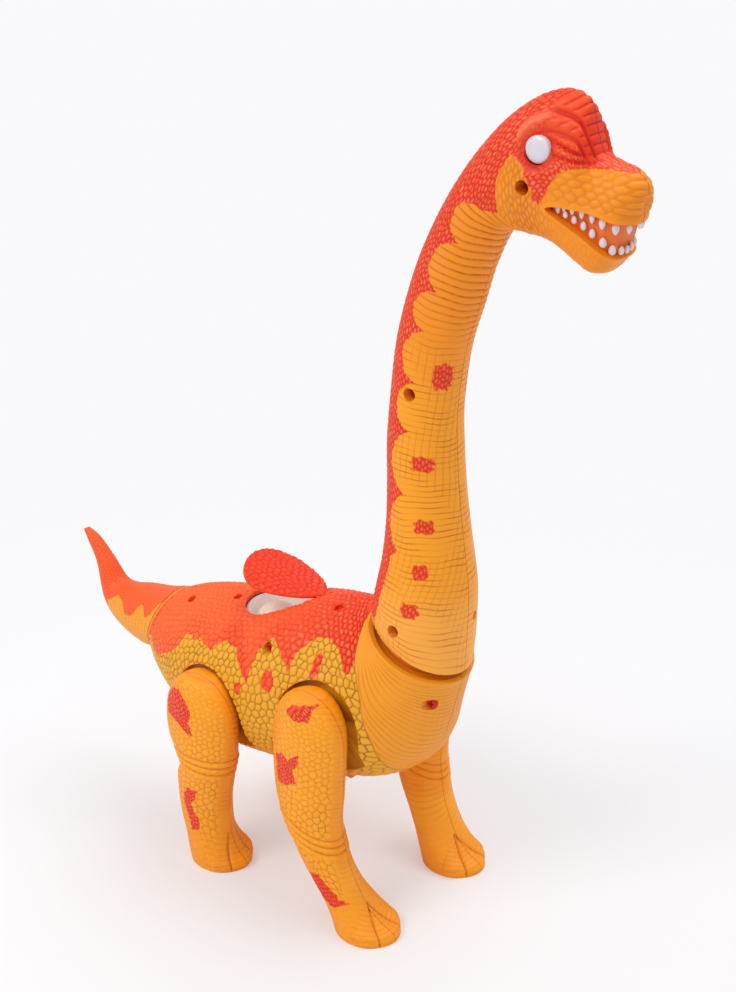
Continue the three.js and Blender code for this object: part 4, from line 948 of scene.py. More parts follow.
# Scales with rounded crowns, smooth lines on the chest, and a plain lip round the collar.
def body_relief(place, normal, spine, girth):
    x, y, z = place.T
    border = read(SCALE_BORDER, z)
    chest = smooth(-0.6, 0.6, x - border)
    drift = 0.18 * wobble(spine / 9.0, girth / 9.0, 1.0)
    edge, tone = cells(counted(spine, SIZE_ALONG) + drift, counted(girth, SIZE_ROUND) + drift, 3.0)
    edge = edge * np.sqrt(read(SIZE_ALONG, spine) * read(SIZE_ROUND, np.abs(girth)))
    pebble = 1.0 - smooth(0.1, 0.52, edge)
    dome = smooth(0.1, 1.8, edge)
    flowing = chest_lines(x, y, z)
    rim = -((place - collar.centre) @ collar.axis)
    lip = smooth(2.4, 1.5, rim)
    between = 0.8 * (1.0 - smooth(0.15, 0.6, np.abs(x - border))) * (rim > 4.0) * (np.abs(girth) > 14.0)
    groove = np.maximum(np.where(chest > 0.5, flowing, pebble) * (1.0 - lip), between)
    lift = blend(chest, 0.26 * dome - 0.42 * pebble, -0.24 * flowing)
    red = body_paint(x, z, border)
    red_grooves, deep_red = back_depths(x, y, z)
    plain_grooves = 0.75 + 0.15 * wobble(x / 7.0, z / 7.0, 3.0)
    # The tone is a random tone per cell plus a painted highlight on the domes, stronger towards the
    # front; the groove value sets the painted shade of the grooves.
    tone = np.clip(0.4 * tone + 0.5 * dome, 0, 1) * (1 - 0.5 * chest)
    return {
        "lift": blend(lip, lift, 0.35),
        "paint": red,
        "groove": groove * np.where(red > 0, red_grooves, plain_grooves),
        "tone": tone * np.interp(x, (-40.0, 30.0), (0.5, 1.0)),
        "zone": np.maximum(chest, smooth(92.0, 70.0, z) * 0.8),
        "deep": np.where(red > 0, deep_red, 0.0),
    }


# The body shell, split into halves, with its hatch lid and battery door
body_skin = Skin(BODY_STATIONS, 0.6, 440)
body_inner = carried_on(drawn_in(BODY_STATIONS, SHELL_WALL), collar.axis, 4)


def body_cavity():
    steps = [
        (CUT, beyond(collar.along(-COLLAR_DEPTH - SHELL_WALL), collar.axis)),
        (CUT, beyond(tail_ring.along(-SHELL_WALL), tail_ring.axis)),
        (CUT, hip_pocket(FRONT_HIP, SHELL_WALL)),
        (CUT, hip_pocket(HIND_HIP, SHELL_WALL)),
        (CUT, box(HATCH_HINGE[0] - 2.6, HATCH_HINGE[0] + 3, -8, 8, HATCH_HINGE[1] - 3, FAR_UP)),
    ]
    for well in BACK_WELLS:
        steps.append((CUT, rod(well, WELL_AXIS, BORE_RADIUS + 0.8, -6, 4.2, 24)))
    steps.extend(screw_posts("body"))
    return carved(loft_mesh(body_inner), steps)


def body_shell():
    recess = carved(loft_mesh(body_inner), [(KEEP, beyond(collar.along(-COLLAR_DEPTH), collar.axis))])
    chute = carved(
        rod(CHUTE_ENTRY, CHUTE_AXIS, CHUTE_OUTER + FIT, -30, 90),
        [(KEEP, box(-130, -56, -40, 40, 40, 96))],
    )
    steps = [
        (CUT, body_cavity()),
        (CUT, recess),
        (CUT, hip_pocket(FRONT_HIP, -SNUG)),
        (CUT, hip_pocket(HIND_HIP, -SNUG)),
        (CUT, rod(collar.centre, collar.axis, NECK_SPIGOT + RUNNING_GAP, -20, 10)),
        (CUT, rod(tail_ring.centre, tail_ring.axis, TAIL_SPIGOT + RUNNING_GAP, -20, 10)),
        (CUT, plate_xy(hatch_outline(0), TRAY_FLOOR, FAR_UP)),
        (CUT, knuckle_notch()),
        (CUT, cross_rod(HATCH_HINGE, PIN_RADIUS, -6.8, 6.8, 16)),
        (CUT, door_block(RUNNING_GAP)),
        (CUT, chute),
        (CUT, cross_rod(FRONT_HIP, AXLE_RADIUS + RUNNING_GAP, -60, 60)),
        (CUT, cross_rod(HIND_HIP, AXLE_RADIUS + RUNNING_GAP, -60, 60)),
    ]
    for well in BACK_WELLS:
        steps.append((CUT, rod(well, WELL_AXIS, BORE_RADIUS - 0.6, -6, 2.8, 32)))
    steps.extend(screw_bores("body"))
    return carved(body_skin.mesh(), steps)


def half_of(mesh, side, *steps):
    cut = beyond((0, side * SEAM_GAP / 2, 0), (0, -side, 0))
    return carved(mesh, [(CUT, cut), *steps])


SWITCH_SLOT = (24.1, 33.9, -13.4, -8.6)
SIDES = ((-1, "right"), (1, "left"))


def make_body():
    shell = body_shell()
    slot_cut = (CUT, box(*SWITCH_SLOT, 50, 82))
    for side, word in SIDES:
        steps = [slot_cut] if side < 0 else []
        half = dressed(half_of(shell, side, *steps), body_skin, body_relief)
        add_piece(f"body_{word}_shell", half, "body", "orange_shell", body_skin_material, f"body_{word}")


def make_hatch():
    under = loft_mesh(drawn_in(BODY_STATIONS, LID_THICKNESS))
    tongue = box(
        HATCH_HINGE[0] - 4, HATCH_HINGE[0], -KNUCKLE_HALF, KNUCKLE_HALF,
        HATCH_HINGE[1] - 0.6, HATCH_HINGE[1] + 1,
    )
    lid = carved(body_skin.mesh(), [
        (KEEP, plate_xy(hatch_outline(-0.5), TRAY_FLOOR, FAR_UP)),
        (CUT, under),
        (JOIN, tongue),
        (JOIN, cross_rod(HATCH_HINGE, KNUCKLE_RADIUS, -KNUCKLE_HALF, KNUCKLE_HALF)),
        (CUT, cross_rod(HATCH_HINGE, PIN_RADIUS, -20, 20, 16)),
    ])
    lid = dressed(lid, body_skin, body_relief)
    place = coordinates(lid)
    angle = math.radians(HATCH_OPEN)
    dx, dz = place[:, 0] - HATCH_HINGE[0], place[:, 2] - HATCH_HINGE[1]
    place[:, 0] = HATCH_HINGE[0] + dx * math.cos(angle) + dz * math.sin(angle)
    place[:, 2] = HATCH_HINGE[1] - dx * math.sin(angle) + dz * math.cos(angle)
    lid.vertices.foreach_set("co", place.astype(np.float32).ravel())
    add_piece("hatch_lid_shell", lid, "hatch", "red_shell", body_skin_material, "hatch_lid")


def make_door():
    inner = loft_mesh(drawn_in(BODY_STATIONS, SHELL_WALL))
    door = carved(body_skin.mesh(), [(KEEP, door_block(0)), (CUT, inner)])
    door = dressed(door, body_skin, body_relief)
    add_piece("battery_door_shell", door, "door", "orange_shell", body_skin_material, "battery_door")


make_body()
make_hatch()
make_door()

# Neck and head pattern
TONGUES = (4.0, 52.0, 80.5, 111.4, 135.6, 161.5, 182.0, 208.0, 230.0)
NECK_SPOTS = (
    (79.9, -9.9, 293.3, 4.8, 6.5), (73.3, -15.3, 251.2, 5.4, 3.6), (75.7, -16.5, 221.1, 4.6, 3.4),
    (75.9, -19.5, 199.0, 4.0, 3.8), (72.6, -23.2, 179.7, 4.6, 3.8), (80.1, 8.4, 286.8, 3.0, 6.0),
)
CHEEK_EDGE = (
    (118.0, 403.0), (115.9, 399.3), (111.5, 394.0), (110.1, 388.0), (109.8, 381.0), (110.4, 375.4),
    (113.0, 370.5), (116.2, 367.2), (121.0, 363.6), (126.0, 361.0),
)
HEAD_ORANGE = (
    (115.9, 399.3), (119.5, 398.2), (122.2, 396.4), (124.9, 392.4), (127.6, 387.2), (129.0, 382.2),
    (130.8, 381.6), (133.4, 384.8), (136.4, 391.2), (140.0, 396.0), (144.5, 397.3), (153.5, 397.0),
    (165.5, 396.0), (175.0, 394.5), (185.0, 394.0), (185.0, 335.0), (112.0, 335.0), (112.0, 363.0),
    (110.4, 375.4), (110.1, 388.0),
)
HEAD_SIDE = CHEEK_EDGE + ((118.0, 352.0), (135.0, 335.0), (200.0, 335.0), (200.0, 440.0), (118.0, 440.0))
BROW = (
    (116.8, 404.5), (119.9, 409.4), (123.8, 413.2), (129.0, 415.4), (133.5, 415.3),
    (137.6, 413.0), (142.2, 409.2), (148.0, 405.3), (153.0, 402.0),
)
MUZZLE = ((136.0, 397.5), (185.0, 397.5), (185.0, 376.0), (150.0, 379.5), (136.0, 384.0))
SNOUT_ROOT = (160.0, 397.0)
FOLDS = (11.0, 21.0, 43.0)
CREST_TOP = (135.0, 425.3)
CREST_BASE = (151.0, 401.0)
RIB_PITCH = ((0.0, 2.7), (120.0, 2.9), (170.0, 3.6), (210.0, 4.0), (260.0, 4.0))


def mouth_outline(grow):
    x, z = MOUTH_CORNER
    return [
        (x - 0.4 - grow, z - 0.4),
        (x + 0.4 - grow * 0.7, z + 0.5 + grow * 0.5),
        (x + 2.5, z + 0.9 + grow),
        (x + 6.0, z + 1.2 + grow),
        (x + 13.0, z + 0.7 + grow),
        (x + 22.0, z - 0.6 + grow),
        (x + 28.0, z - 2.6 + grow),
        (x + 34.0, z - 3.4 + grow),
        (x + 50.5, z - 3.6 + grow),
        (x + 50.5, z - 19.2 - grow),
        (x + 31.0, z - 18.9 - grow),
        (x + 27.0, z - 18.6 - grow),
        (x + 24.0, z - 15.8 - grow),
        (x + 19.5, z - 12.6 - grow),
        (x + 14.0, z - 9.0 - grow),
        (x + 0.6 - grow * 0.7, z - 1.4 - grow * 0.5),
    ]


# How far round from the back the red reaches, down the neck: scallops between tongues.
def red_reach(spine):
    reach = np.full(spine.shape, 30.0)
    for low, high in zip(TONGUES[:-1], TONGUES[1:]):
        share = np.clip((spine - low) / (high - low), 0.0, 1.0)
        scallop = 31.5 - 10.5 * np.sqrt(np.sin(math.pi * share))
        least = 26.0 if low == TONGUES[0] else 0.0
        reach = np.where((spine >= low) & (spine < high), np.maximum(scallop, least), reach)
    on_head = np.interp(spine, (230.0, 238.0, 243.0), (32.0, 40.0, 90.0))
    return np.where(spine >= TONGUES[-1], on_head, reach)


# Rings round the throat, rounded like a hose near the head and crossed by fine upright lines below.
def throat_relief(spine, girth):
    waves = 1.1 * wobble(girth / 14.0, spine / 22.0, 7.0) + 0.55 * wobble(girth / 5.5, spine / 9.0, 14.0)
    phase = counted(spine + waves, RIB_PITCH)
    ring = line_groove(phase, read(RIB_PITCH, spine), 0.5)
    ring = ring * np.clip(0.55 + 0.5 * wobble(spine / 4.0, girth / 7.0, 12.0), 0.28, 0.85)
    hosed = smooth(140.0, 185.0, spine) * smooth(252.0, 240.0, spine)
    hose = np.abs(np.sin(math.pi * phase)) ** 0.6
    upright = line_groove(girth / 3.4 + 0.22 * wobble(spine / 16.0, girth / 7.0, 8.0), 3.4, 0.45)
    upright = upright * smooth(-0.05, 0.3, wobble(spine / 17.0, girth / 11.0, 9.0) + 0.25) * (1 - hosed)
    lift = -0.22 * ring * (1 - hosed) - 0.14 * upright + hosed * 0.8 * (hose - 0.75)
    groove = np.maximum(np.maximum(ring, 0.5 * upright) * (1 - hosed), hosed * (1 - hose) ** 1.4)
    return lift, groove


# The red spots of the neck, above 0 inside one.
def neck_spots(x, y, z, spine, girth):
    ragged = 0.7 * wobble(spine / 1.1, girth / 1.1, 5.0)
    spots = np.full(x.shape, -FAR)
    for spot_x, spot_y, spot_z, half, tall in NECK_SPOTS:
        for across in (spot_y, -spot_y) if spot_y < -9.0 else (spot_y,):
            sideways = np.hypot(x - spot_x, y - across) / half
            away = (sideways**3 + (np.abs(z - spot_z) / tall) ** 3) ** (1 / 3)
            spots = np.maximum(spots, (1.0 - away) * min(half, tall) + ragged)
    return spots


# Fine long scales in a red stripe down the back, rings round the throat, and the head.
def neck_relief(place, normal, spine, girth):
    x, y, z = place.T
    stripe_edge = red_reach(spine) - np.abs(girth) + 0.6 * wobble(spine / 2.2, girth / 2.2, 6.0)
    stripe = smooth(-1.0, 1.0, stripe_edge)
    edge, tone = cells(spine / 3.3 + 0.1 * wobble(girth / 4.0, spine / 9.0), girth / 1.75, 11.0)
    scale_groove, scale_dome = small_scale(edge * 1.75)
    throat_lift, throat_groove = throat_relief(spine, girth)
    lift = blend(stripe, throat_lift, 0.12 * scale_dome - 0.24 * scale_groove)
    groove = blend(stripe, throat_groove, scale_groove)
    # The tone is a painted highlight on the scale domes, with a random tone per cell; the spots below
    # get the same highlight.
    tone = blend(stripe, 0.4, 0.5 * tone + 0.5 * scale_dome)
    head = inside(HEAD_SIDE, x, z)
    on_head = smooth(-0.2, 0.2, head)
    of_head = head_relief(x, y, z, normal, spine, girth, head)
    lift, groove, tone = (
        np.where(on_head > 0.5, new, old) for new, old in zip(of_head, (lift, groove, tone))
    )
    red = np.minimum(stripe_edge, spine - 9.0)
    red = np.where(smooth(232.0, 240.0, spine) > 0.99, 9.0, red)
    face = inside(HEAD_ORANGE, x, z) + 0.45 * wobble(x / 1.4, z / 1.4, 3.0) * smooth(141.0, 136.0, x)
    red = np.where(head > -0.6, -face, red)
    spots = neck_spots(x, y, z, spine, girth)
    in_spot = smooth(-0.3, 0.3, spots)
    red = np.maximum(red, spots)
    groove = np.maximum(groove * (1 - 0.4 * in_spot), in_spot * scale_groove)
    tone = np.maximum(tone, 0.9 * in_spot * scale_dome)
    crest_near = smooth(140.0, 147.0, x) * smooth(398.0, 404.0, z)
    snout = smooth(150.0, 158.0, x) * smooth(405.0, 400.0, z)
    deep_red = 0.62 + 0.38 * crest_near * (1 - snout) - 0.55 * snout
    deep_orange = np.maximum(0.8 * smooth(110.0, 170.0, spine), 0.85 * on_head)
    return {
        "lift": lift,
        "paint": red,
        "groove": groove,
        "tone": tone,
        "zone": smooth(44.0, 12.0, spine),
        "deep": np.where(red > 0, deep_red, deep_orange),
    }


# Each part of the head below changes the lift and groove that it is given.
def head_relief(x, y, z, normal, spine, girth, head):
    orange = smooth(-0.6, 0.6, inside(HEAD_ORANGE, x, z))
    plate = smooth(-0.2, 1.1, head) * smooth(406.0, 396.0, z)
    edge, tone = cells(spine / 2.9 + 0.2 * wobble(x / 5, z / 5), girth / 1.9, 21.0)
    scaly, dome = small_scale(edge * 1.9)
    across = x / 2.0 + 0.2 * wobble(z / 5, x / 5)
    long_edge = cells(z / 4.6 + 0.25 * wobble(x / 6, z / 6), across, 22.0)[0]
    wrinkle = 1.0 - smooth(0.1, 0.75, long_edge * 2.0)
    lift = plate + blend(orange, 0.14 * dome - 0.22 * scaly, -0.15 * wrinkle)
    groove = blend(orange, scaly, wrinkle * np.interp(x, (112.0, 124.0, 140.0), (0.45, 0.65, 0.25)))
    lift, groove, block_tone = muzzle_blocks(x, y, z, lift, groove, plate, orange)
    lift, groove = lips(x, z, lift, groove, plate)
    flank = smooth(4.0, 9.0, np.abs(y))
    lift, groove = eye_socket(x, z, lift, groove, flank)
    brow = bump(from_line(BROW, x, z), 2.5) * flank
    lift = lift * (1 - 0.6 * brow) + 1.5 * brow
    groove = groove * (1 - 0.85 * brow)
    # The tone is a painted highlight on the scale domes and the brow band, with a random tone per cell.
    tone = blend(orange, np.maximum(0.45 * tone + 0.5 * dome, 0.9 * brow), 0.25 + 0.25 * block_tone)
    lift, groove = snout_folds(x, z, lift, groove, flank)
    return crested(x, y, z, normal, lift, groove, tone)


# Rows of soft blocks on the muzzle.
def muzzle_blocks(x, y, z, lift, groove, plate, orange):
    zone = smooth(0.0, 2.0, inside(MUZZLE, x, z)) * orange
    depth = z - (397.5 - 0.16 * (x - 140.0))
    row = depth / 2.9 + 0.18 * wobble(x / 6.0, z / 4.0)
    edge, tone = cells((x + 0.45 * np.abs(y)) / 4.6, row, 23.0, 0.25)
    gaps = 1.0 - smooth(0.05, 0.75, edge * 2.7)
    swell = smooth(0.1, 1.3, edge * 2.7)
    return blend(zone, lift, plate - 0.3 * gaps + 0.16 * swell), blend(zone, groove, 0.4 * gaps), tone


def lips(x, z, lift, groove, plate):
    away = -inside(mouth_outline(0.0), x, z)
    lip = bump(away, 1.6) * smooth(131.0, 136.0, x)
    lift = blend(0.8 * smooth(2.6, 1.2, away), lift, plate) + 0.7 * lip
    return lift, groove * smooth(1.0, 2.6, away)


# The hollow round the eye, and short folds fanned above it.
def eye_socket(x, z, lift, groove, flank):
    away = np.hypot(x - EYE[0], z - EYE[1])
    angle = np.arctan2(z - EYE[1], x - EYE[0])
    socket = smooth(10.2, 6.6, away) * flank
    above = smooth(-0.3, 0.4, np.sin(angle + 0.25))
    fan = (0.5 + 0.5 * np.cos(30.0 * angle)) * bump(away - 8.9, 1.3) * above * flank
    groove = np.maximum(groove * (1 - socket), np.maximum(0.9 * socket, 0.85 * fan))
    return lift - 1.3 * socket - 0.5 * fan, groove


# Folds that run together at the root of the snout.
def snout_folds(x, z, lift, groove, flank):
    run = np.hypot(SNOUT_ROOT[0] - x, z - SNOUT_ROOT[1])
    lean = np.degrees(np.arctan2(z - SNOUT_ROOT[1], SNOUT_ROOT[0] - x))
    eye_away = np.hypot(x - EYE[0], z - EYE[1])
    window = smooth(6.0, 10.0, run) * smooth(29.0, 24.0, run) * smooth(6.2, 7.6, eye_away) * flank
    for fold in FOLDS:
        across = np.radians(lean - fold) * run
        line = bump(across, 0.8) * window
        beside = bump(across - 2.0, 1.0) * window
        lift = lift - 0.9 * line + 0.5 * beside
        groove = np.maximum(groove * (1 - 0.6 * beside), line)
    return lift, groove


# Crest: a folded ridge on the midline, a deep channel and a thinner ridge on each side.
def crested(x, y, z, normal, lift, groove, tone):
    tx, tz = CREST_BASE[0] - CREST_TOP[0], CREST_BASE[1] - CREST_TOP[1]
    length = math.hypot(tx, tz)
    down = ((x - CREST_TOP[0]) * tx + (z - CREST_TOP[1]) * tz) / length
    share = down / length
    off = np.abs(y) / (1.0 - 0.4 * np.clip(share, 0, 1))
    front = smooth(0.05, 0.35, normal[:, 0] * 0.75 + normal[:, 2] * 0.66) * smooth(127.0, 134.0, x)
    crest = front * smooth(-0.12, 0.08, share) * smooth(1.12, 0.85, share) * smooth(16.6, 15.0, off)
    middle_ridge = smooth(8.2, 6.4, off)
    channel = bump(off - 8.9, 1.0)
    side_ridge = bump(off - 11.6, 1.7)
    outer_channel = bump(off - 14.6, 1.0)
    pleats = np.abs(np.sin(math.pi * down / 3.9 + 0.9 * smooth(6.0, 12.0, off))) ** 0.6
    lift = lift * (1 - 0.8 * crest) + crest * (
        0.35 * middle_ridge - 1.5 * channel + 0.7 * side_ridge - 0.9 * outer_channel
        - 0.8 * (1 - pleats) * np.maximum(middle_ridge, 0.8 * side_ridge)
    )
    pleat_groove = 0.9 * smooth(0.8, 0.3, pleats) * np.maximum(middle_ridge, side_ridge)
    crest_groove = np.maximum(np.maximum(channel, 0.8 * outer_channel), pleat_groove)
    return lift, np.clip(blend(crest, groove, crest_groove), 0, 1), blend(crest, tone, 0.15)


neck_skin = Skin(NECK_STATIONS, 0.55, 250)


def make_neck():
    inner = drawn_in(NECK_STATIONS, SHELL_WALL)[:-2]
    start = inner[0]
    dx, dz = collar.axis[0] * -8, collar.axis[2] * -8
    inner = [(start[0] + dx, start[1] + dz, start[2] + dx, start[3] + dz, *start[4:]), *inner]
    cavity = carved(loft_mesh(inner), list(screw_posts("neck")))
    steps = [(CUT, cavity), *screw_bores("neck"), (CUT, plate_xz(mouth_outline(0.0), -40, 40))]
    for side in (-1, 1):
        steps.append((CUT, rod((EYE[0], 0, EYE[1]), (0, side, 0), EYE_RADIUS + FIT, 4, 40)))
    steps.append((CUT, rod((90.0, 7.0, 170.5), (1.0, 0.25, 0.0), 2.4, -3.0, 6.0, 32)))
    shell = carved(neck_skin.mesh(), steps)
    for side, word in SIDES:
        half = dressed(half_of(shell, side), neck_skin, neck_relief)
        add_piece(f"neck_{word}_shell", half, "neck", "orange_shell", neck_skin_material, f"neck_{word}")


make_neck()

# Legs
LEG_PATCHES = {
    "front": (
        ((24, 124), (27, 127.5), (33, 128.6), (39, 129), (37.5, 121.5), (30, 120.3), (25.5, 121.5)),
        ((15.9, 96), (22, 99.5), (26, 97.5), (33.5, 103), (32, 96), (29.5, 93), (31.2, 86),
         (24, 82), (18, 81)),
        ((35, 34), (41, 34.5), (47, 28), (52, 22), (55.5, 19.5), (50, 17.5), (43, 20), (38, 25)),
    ),
    "hind": (
        ((-60, 97), (-56, 106), (-49, 108.5), (-42, 104), (-38.7, 98), (-40, 93), (-38, 86), (-41, 85),
         (-48, 90), (-57, 92)),
        ((-49, 46), (-46, 51), (-39.7, 50.1), (-40.5, 46), (-44.2, 40), (-43, 35), (-40.6, 31),
         (-41, 25), (-46.6, 22.1), (-47.5, 30), (-50, 40)),
    ),
}
KNEES = {
    "front": ((57.0, 0.38), (53.3, 0.38), (49.6, 0.38)),
    "hind": ((69.5, 0.0), (66.0, 0.05), (62.0, 0.1)),
}
TOE_ANGLE = 30.0
LEG_SCALES = ((0.0, 2.4), (22.0, 2.8), (45.0, 4.0), (90.0, 4.0), (130.0, 3.2), (180.0, 3.2))
LEG_NET = ((10.0, 0.5), (45.0, 0.85), (90.0, 1.0), (140.0, 0.7))
LEG_WALL = 3.4


# Raised rings at the knee.
def knee_rings(which, hip, x, z, lift, groove):
    for height, tilt in KNEES[which]:
        level = z + tilt * (x - hip[0]) - height
        lift = lift + 0.55 * bump(level, 1.3) - 0.5 * bump(level - 1.9, 0.8)
        groove = np.maximum(groove * (1 - 0.6 * bump(level, 2.4)), 0.7 * bump(level - 1.9, 0.6))
    return lift, groove


# Three toes parted by clefts, with small folds over them, and a flat sole.
def toes(foot, x, y, z, lift, groove):
    dx, dy = x - (foot[0] + foot[2]) / 2, y - foot[8]
    out = np.hypot(dx, dy)
    turn = np.degrees(np.arctan2(dy, dx))
    low = smooth(34.0, 12.0, z)
    squeeze = 0.35 + 0.65 * smooth(36.0, 8.0, z)
    width = out * np.radians(np.abs(np.abs(turn) - TOE_ANGLE * squeeze))
    reach = smooth(24.0, 17.0, z) * (np.abs(turn) < 80)
    swell = (0.5 + 0.5 * np.cos(math.pi * turn / TOE_ANGLE)) * smooth(16.0, 4.0, z) * (np.abs(turn) < 75)
    arcs = line_groove((out - 0.8 * z) / 3.2, 3.2, 0.7) * low * (np.abs(turn) < 85)
    lift = lift * (1 - 0.6 * low) - bump(width, 0.7) * reach + 0.8 * swell - 0.16 * arcs
    clefts = np.maximum(0.95 * bump(width, 0.4) * reach, 0.35 * arcs)
    return lift * smooth(0.0, 1.2, z), np.maximum(groove * (1 - 0.5 * low), clefts)


# Scales on the outer side, long wrinkles before and behind, knee rings, toes and red patches.
def leg_relief(which, hip, stations):
    def relief(place, normal, spine, girth):
        x, y, z = place.T
        outer = smooth(0.25, 0.7, -normal[:, 1])
        along = counted(spine, LEG_SCALES) + 0.15 * wobble(spine / 8, girth / 8)
        edge, tone = cells(along, girth / 3.6 + 0.12 * wobble(girth / 7, spine / 7), 31.0)
        edge = edge * read(LEG_SCALES, spine)
        pebble = (1.0 - smooth(0.08, 0.46, edge)) * (0.12 + 0.78 * outer)
        dome = smooth(0.1, 1.8, edge) * outer
        level = z / 2.8 + 0.35 * wobble(z / 9.0, y / 6.0, 2.0) + 0.1 * y
        wrinkle = line_groove(level, 2.8, 0.9) * (1 - outer)
        wrinkle = wrinkle * (0.55 + 0.35 * wobble(z / 5.0, y / 4.0, 6.0))
        lift = 0.14 * dome - 0.26 * pebble - 0.26 * wrinkle
        net = read(LEG_NET, spine) + 0.15 * wobble(spine / 7, girth / 6, 4.0)
        groove = np.maximum(pebble * (0.3 + 0.6 * outer) * net, 0.55 * wrinkle)
        lift, groove = knee_rings(which, hip, x, z, lift, groove)
        lift, groove = toes(stations[-1], x, y, z, lift, groove)
        red = np.full(x.shape, -9.0)
        for patch in LEG_PATCHES[which]:
            red = np.maximum(red, inside(patch, x, z) + 0.5 * wobble(x / 1.3, z / 1.3, 2.0))
        red = np.where(normal[:, 1] < 0.15, red, -9.0)
        on_red = smooth(-0.4, 0.4, red)
        small_edge = cells(spine / 2.3, girth / 1.9, 33.0)[0]
        small = (1.0 - smooth(0.05, 0.4, small_edge * 1.9)) * on_red
        # The tone is a painted highlight on the domes and the red patches, with a random tone per cell
        # on the outer side.
        tone = 0.45 * tone * outer + 0.35 * dome + 0.3 * (1 - outer)
        facing_front = smooth(-0.1, -0.6, normal[:, 0])
        return {
            "lift": lift,
            "paint": red,
            "groove": np.maximum(groove * (1 - 0.6 * on_red), small),
            "tone": np.where(red > 0, 0.2 + 0.75 * smooth(0.1, 0.8, small_edge * 1.9), tone),
            "zone": (1 - outer) * smooth(32.0, 40.0, z),
            "deep": np.where(red > 0, 0.75, 0.55 * facing_front + 0.4 * smooth(34.0, 10.0, z)),
        }

    return relief


def leg_parting(hip, away):
    slope = (LEG_PLANE - SOLE_SPREAD) / hip[1]
    normal = unit(np.array([0.0, 1.0, slope]))
    origin = np.array([hip[0], -SOLE_SPREAD, 0.0]) - normal * (SEAM_GAP / 2 * away)
    return beyond(origin, normal * away)


def make_leg(which, hip, stations):
    skin = Skin(stations, 0.62, 176)
    hollow = loft_mesh(drawn_in(stations, LEG_WALL)[2:-2])
    relief = leg_relief(which, hip, stations)
    outer = carved(skin.mesh(), [(CUT, hollow), (CUT, leg_parting(hip, 1))])
    shoulder = POCKET_FLOOR - SHELL_WALL - FIT
    tip = shoulder - RUNNING_GAP - 3.0 - FIT
    inner = carved(skin.mesh(), [
        (CUT, hollow),
        (CUT, leg_parting(hip, -1)),
        (JOIN, cross_rod(hip, AXLE_RADIUS, -LEG_PLANE + 4, -shoulder)),
        (JOIN, cross_rod(hip, 3.5, -shoulder - 1, -tip)),
    ])
    outer = dressed(outer, skin, relief)
    inner = dressed(inner, skin, relief)
    for word in ("right", "left"):
        for part, mesh in (("outer", outer), ("inner", inner)):
            made = mesh.copy() if word == "right" else mirrored(mesh)
            leg = f"leg_{which}_{word}"
            node = f"{leg}_{part}"
            add_piece(f"{node}_shell", made, leg, "leg_orange", leg_skin_material, node)


make_leg("front", FRONT_HIP, FRONT_LEG)
make_leg("hind", HIND_HIP, HIND_LEG)


# Tail
def tail_root(distance, half_length, half):
    centre = tail_ring.along(distance)
    top = centre + tail_ring.up * half_length
    bottom = centre - tail_ring.up * half_length
    return station(top[0], top[2], bottom[0], bottom[2], half)


TAIL_START = RUNNING_GAP + TAIL_RING + FIT
TAIL_RED = (
    (-175.0, 70.0), (-149.0, 60.0), (-147.0, 17.0), (-139.5, 10.5), (-133.0, 14.0), (-128.5, 21.5),
    (-122.5, 22.7), (-117.5, 14.5), (-115.5, 15.0), (-110.5, 22.5), (-107.0, 21.0), (-103.5, 14.0),
    (-98.0, 13.0),
)
TAIL_SCALES = ((0.0, 2.6), (30.0, 2.3), (70.0, 1.9), (90.0, 1.8))


# Very small scales above and fine rings under the tail.
def tail_relief(place, normal, spine, girth):
    x, y, z = place.T
    pitch = np.interp(spine, (0, 30, 70), (2.6, 2.1, 1.6))
    edge, tone = cells(counted(spine, TAIL_SCALES), girth / 2.2, 41.0)
    fine = 1.0 - smooth(0.06, 0.4, edge * pitch)
    under = smooth(18.0, 24.0, np.abs(girth))
    rings = line_groove(spine / 3.0 + 0.2 * wobble(girth / 8, spine / 9), 3.0, 0.5) * under
    # The groove value darkens these grooves as painted shade; the tone is a random tone per cell.
    groove = np.maximum(fine * 0.5, 0.4 * rings)
    red = read(TAIL_RED, x) - np.abs(girth) + 0.5 * wobble(x / 2, girth / 2, 1.0)
    return {
        "lift": -0.14 * fine - 0.1 * rings,
        "paint": red,
        "groove": groove,
        "tone": 0.4 * tone,
        "zone": np.full(x.shape, 0.4),
        "deep": np.where(red > 0, 0.25, 0.0),
    }


def make_tail():
    outer = [tail_root(TAIL_START, 19.8, 19.2), *TAIL_STATIONS]
    inner = [tail_root(0, 17, 16.8), *drawn_in(outer[:-3], 2.6)]
    skin = Skin(outer, 0.6, 190)
    mesh = carved(skin.mesh(), [(CUT, loft_mesh(inner))])
    mesh = dressed(mesh, skin, tail_relief)
    add_piece("tail_shell", mesh, "tail", "red_shell", neck_skin_material, "tail")
    ring = grid_mesh(sections(np.array([
        tail_root(RUNNING_GAP, 19.6, 18.9),
        tail_root(RUNNING_GAP + 0.35, 20.2, 19.5),
        tail_root(RUNNING_GAP + TAIL_RING / 2, 20.5, 19.8),
        tail_root(RUNNING_GAP + TAIL_RING - 0.35, 20.2, 19.5),
        tail_root(RUNNING_GAP + TAIL_RING, 19.6, 18.9),
    ]), np.linspace(0, 2 * math.pi, 121)[:-1]))
    inside_wall = -SHELL_WALL - RUNNING_GAP
    spindle = turned([
        (0, inside_wall - 2), (TAIL_SPIGOT + 2.5, inside_wall - 2), (TAIL_SPIGOT + 2.5, inside_wall),
        (TAIL_SPIGOT, inside_wall), (TAIL_SPIGOT, RUNNING_GAP + 1), (TAIL_SPIGOT + 1.2, RUNNING_GAP + 1),
        (TAIL_SPIGOT + 1.2, TAIL_START + 4), (0, TAIL_START + 4),
    ], tail_ring.centre, tail_ring.axis)
    hub = carved(ring, [(JOIN, spindle)])
    add_piece("tail_hub_ring", hub, "tail", "bright_orange", bright_orange, "tail_hub")


make_tail()


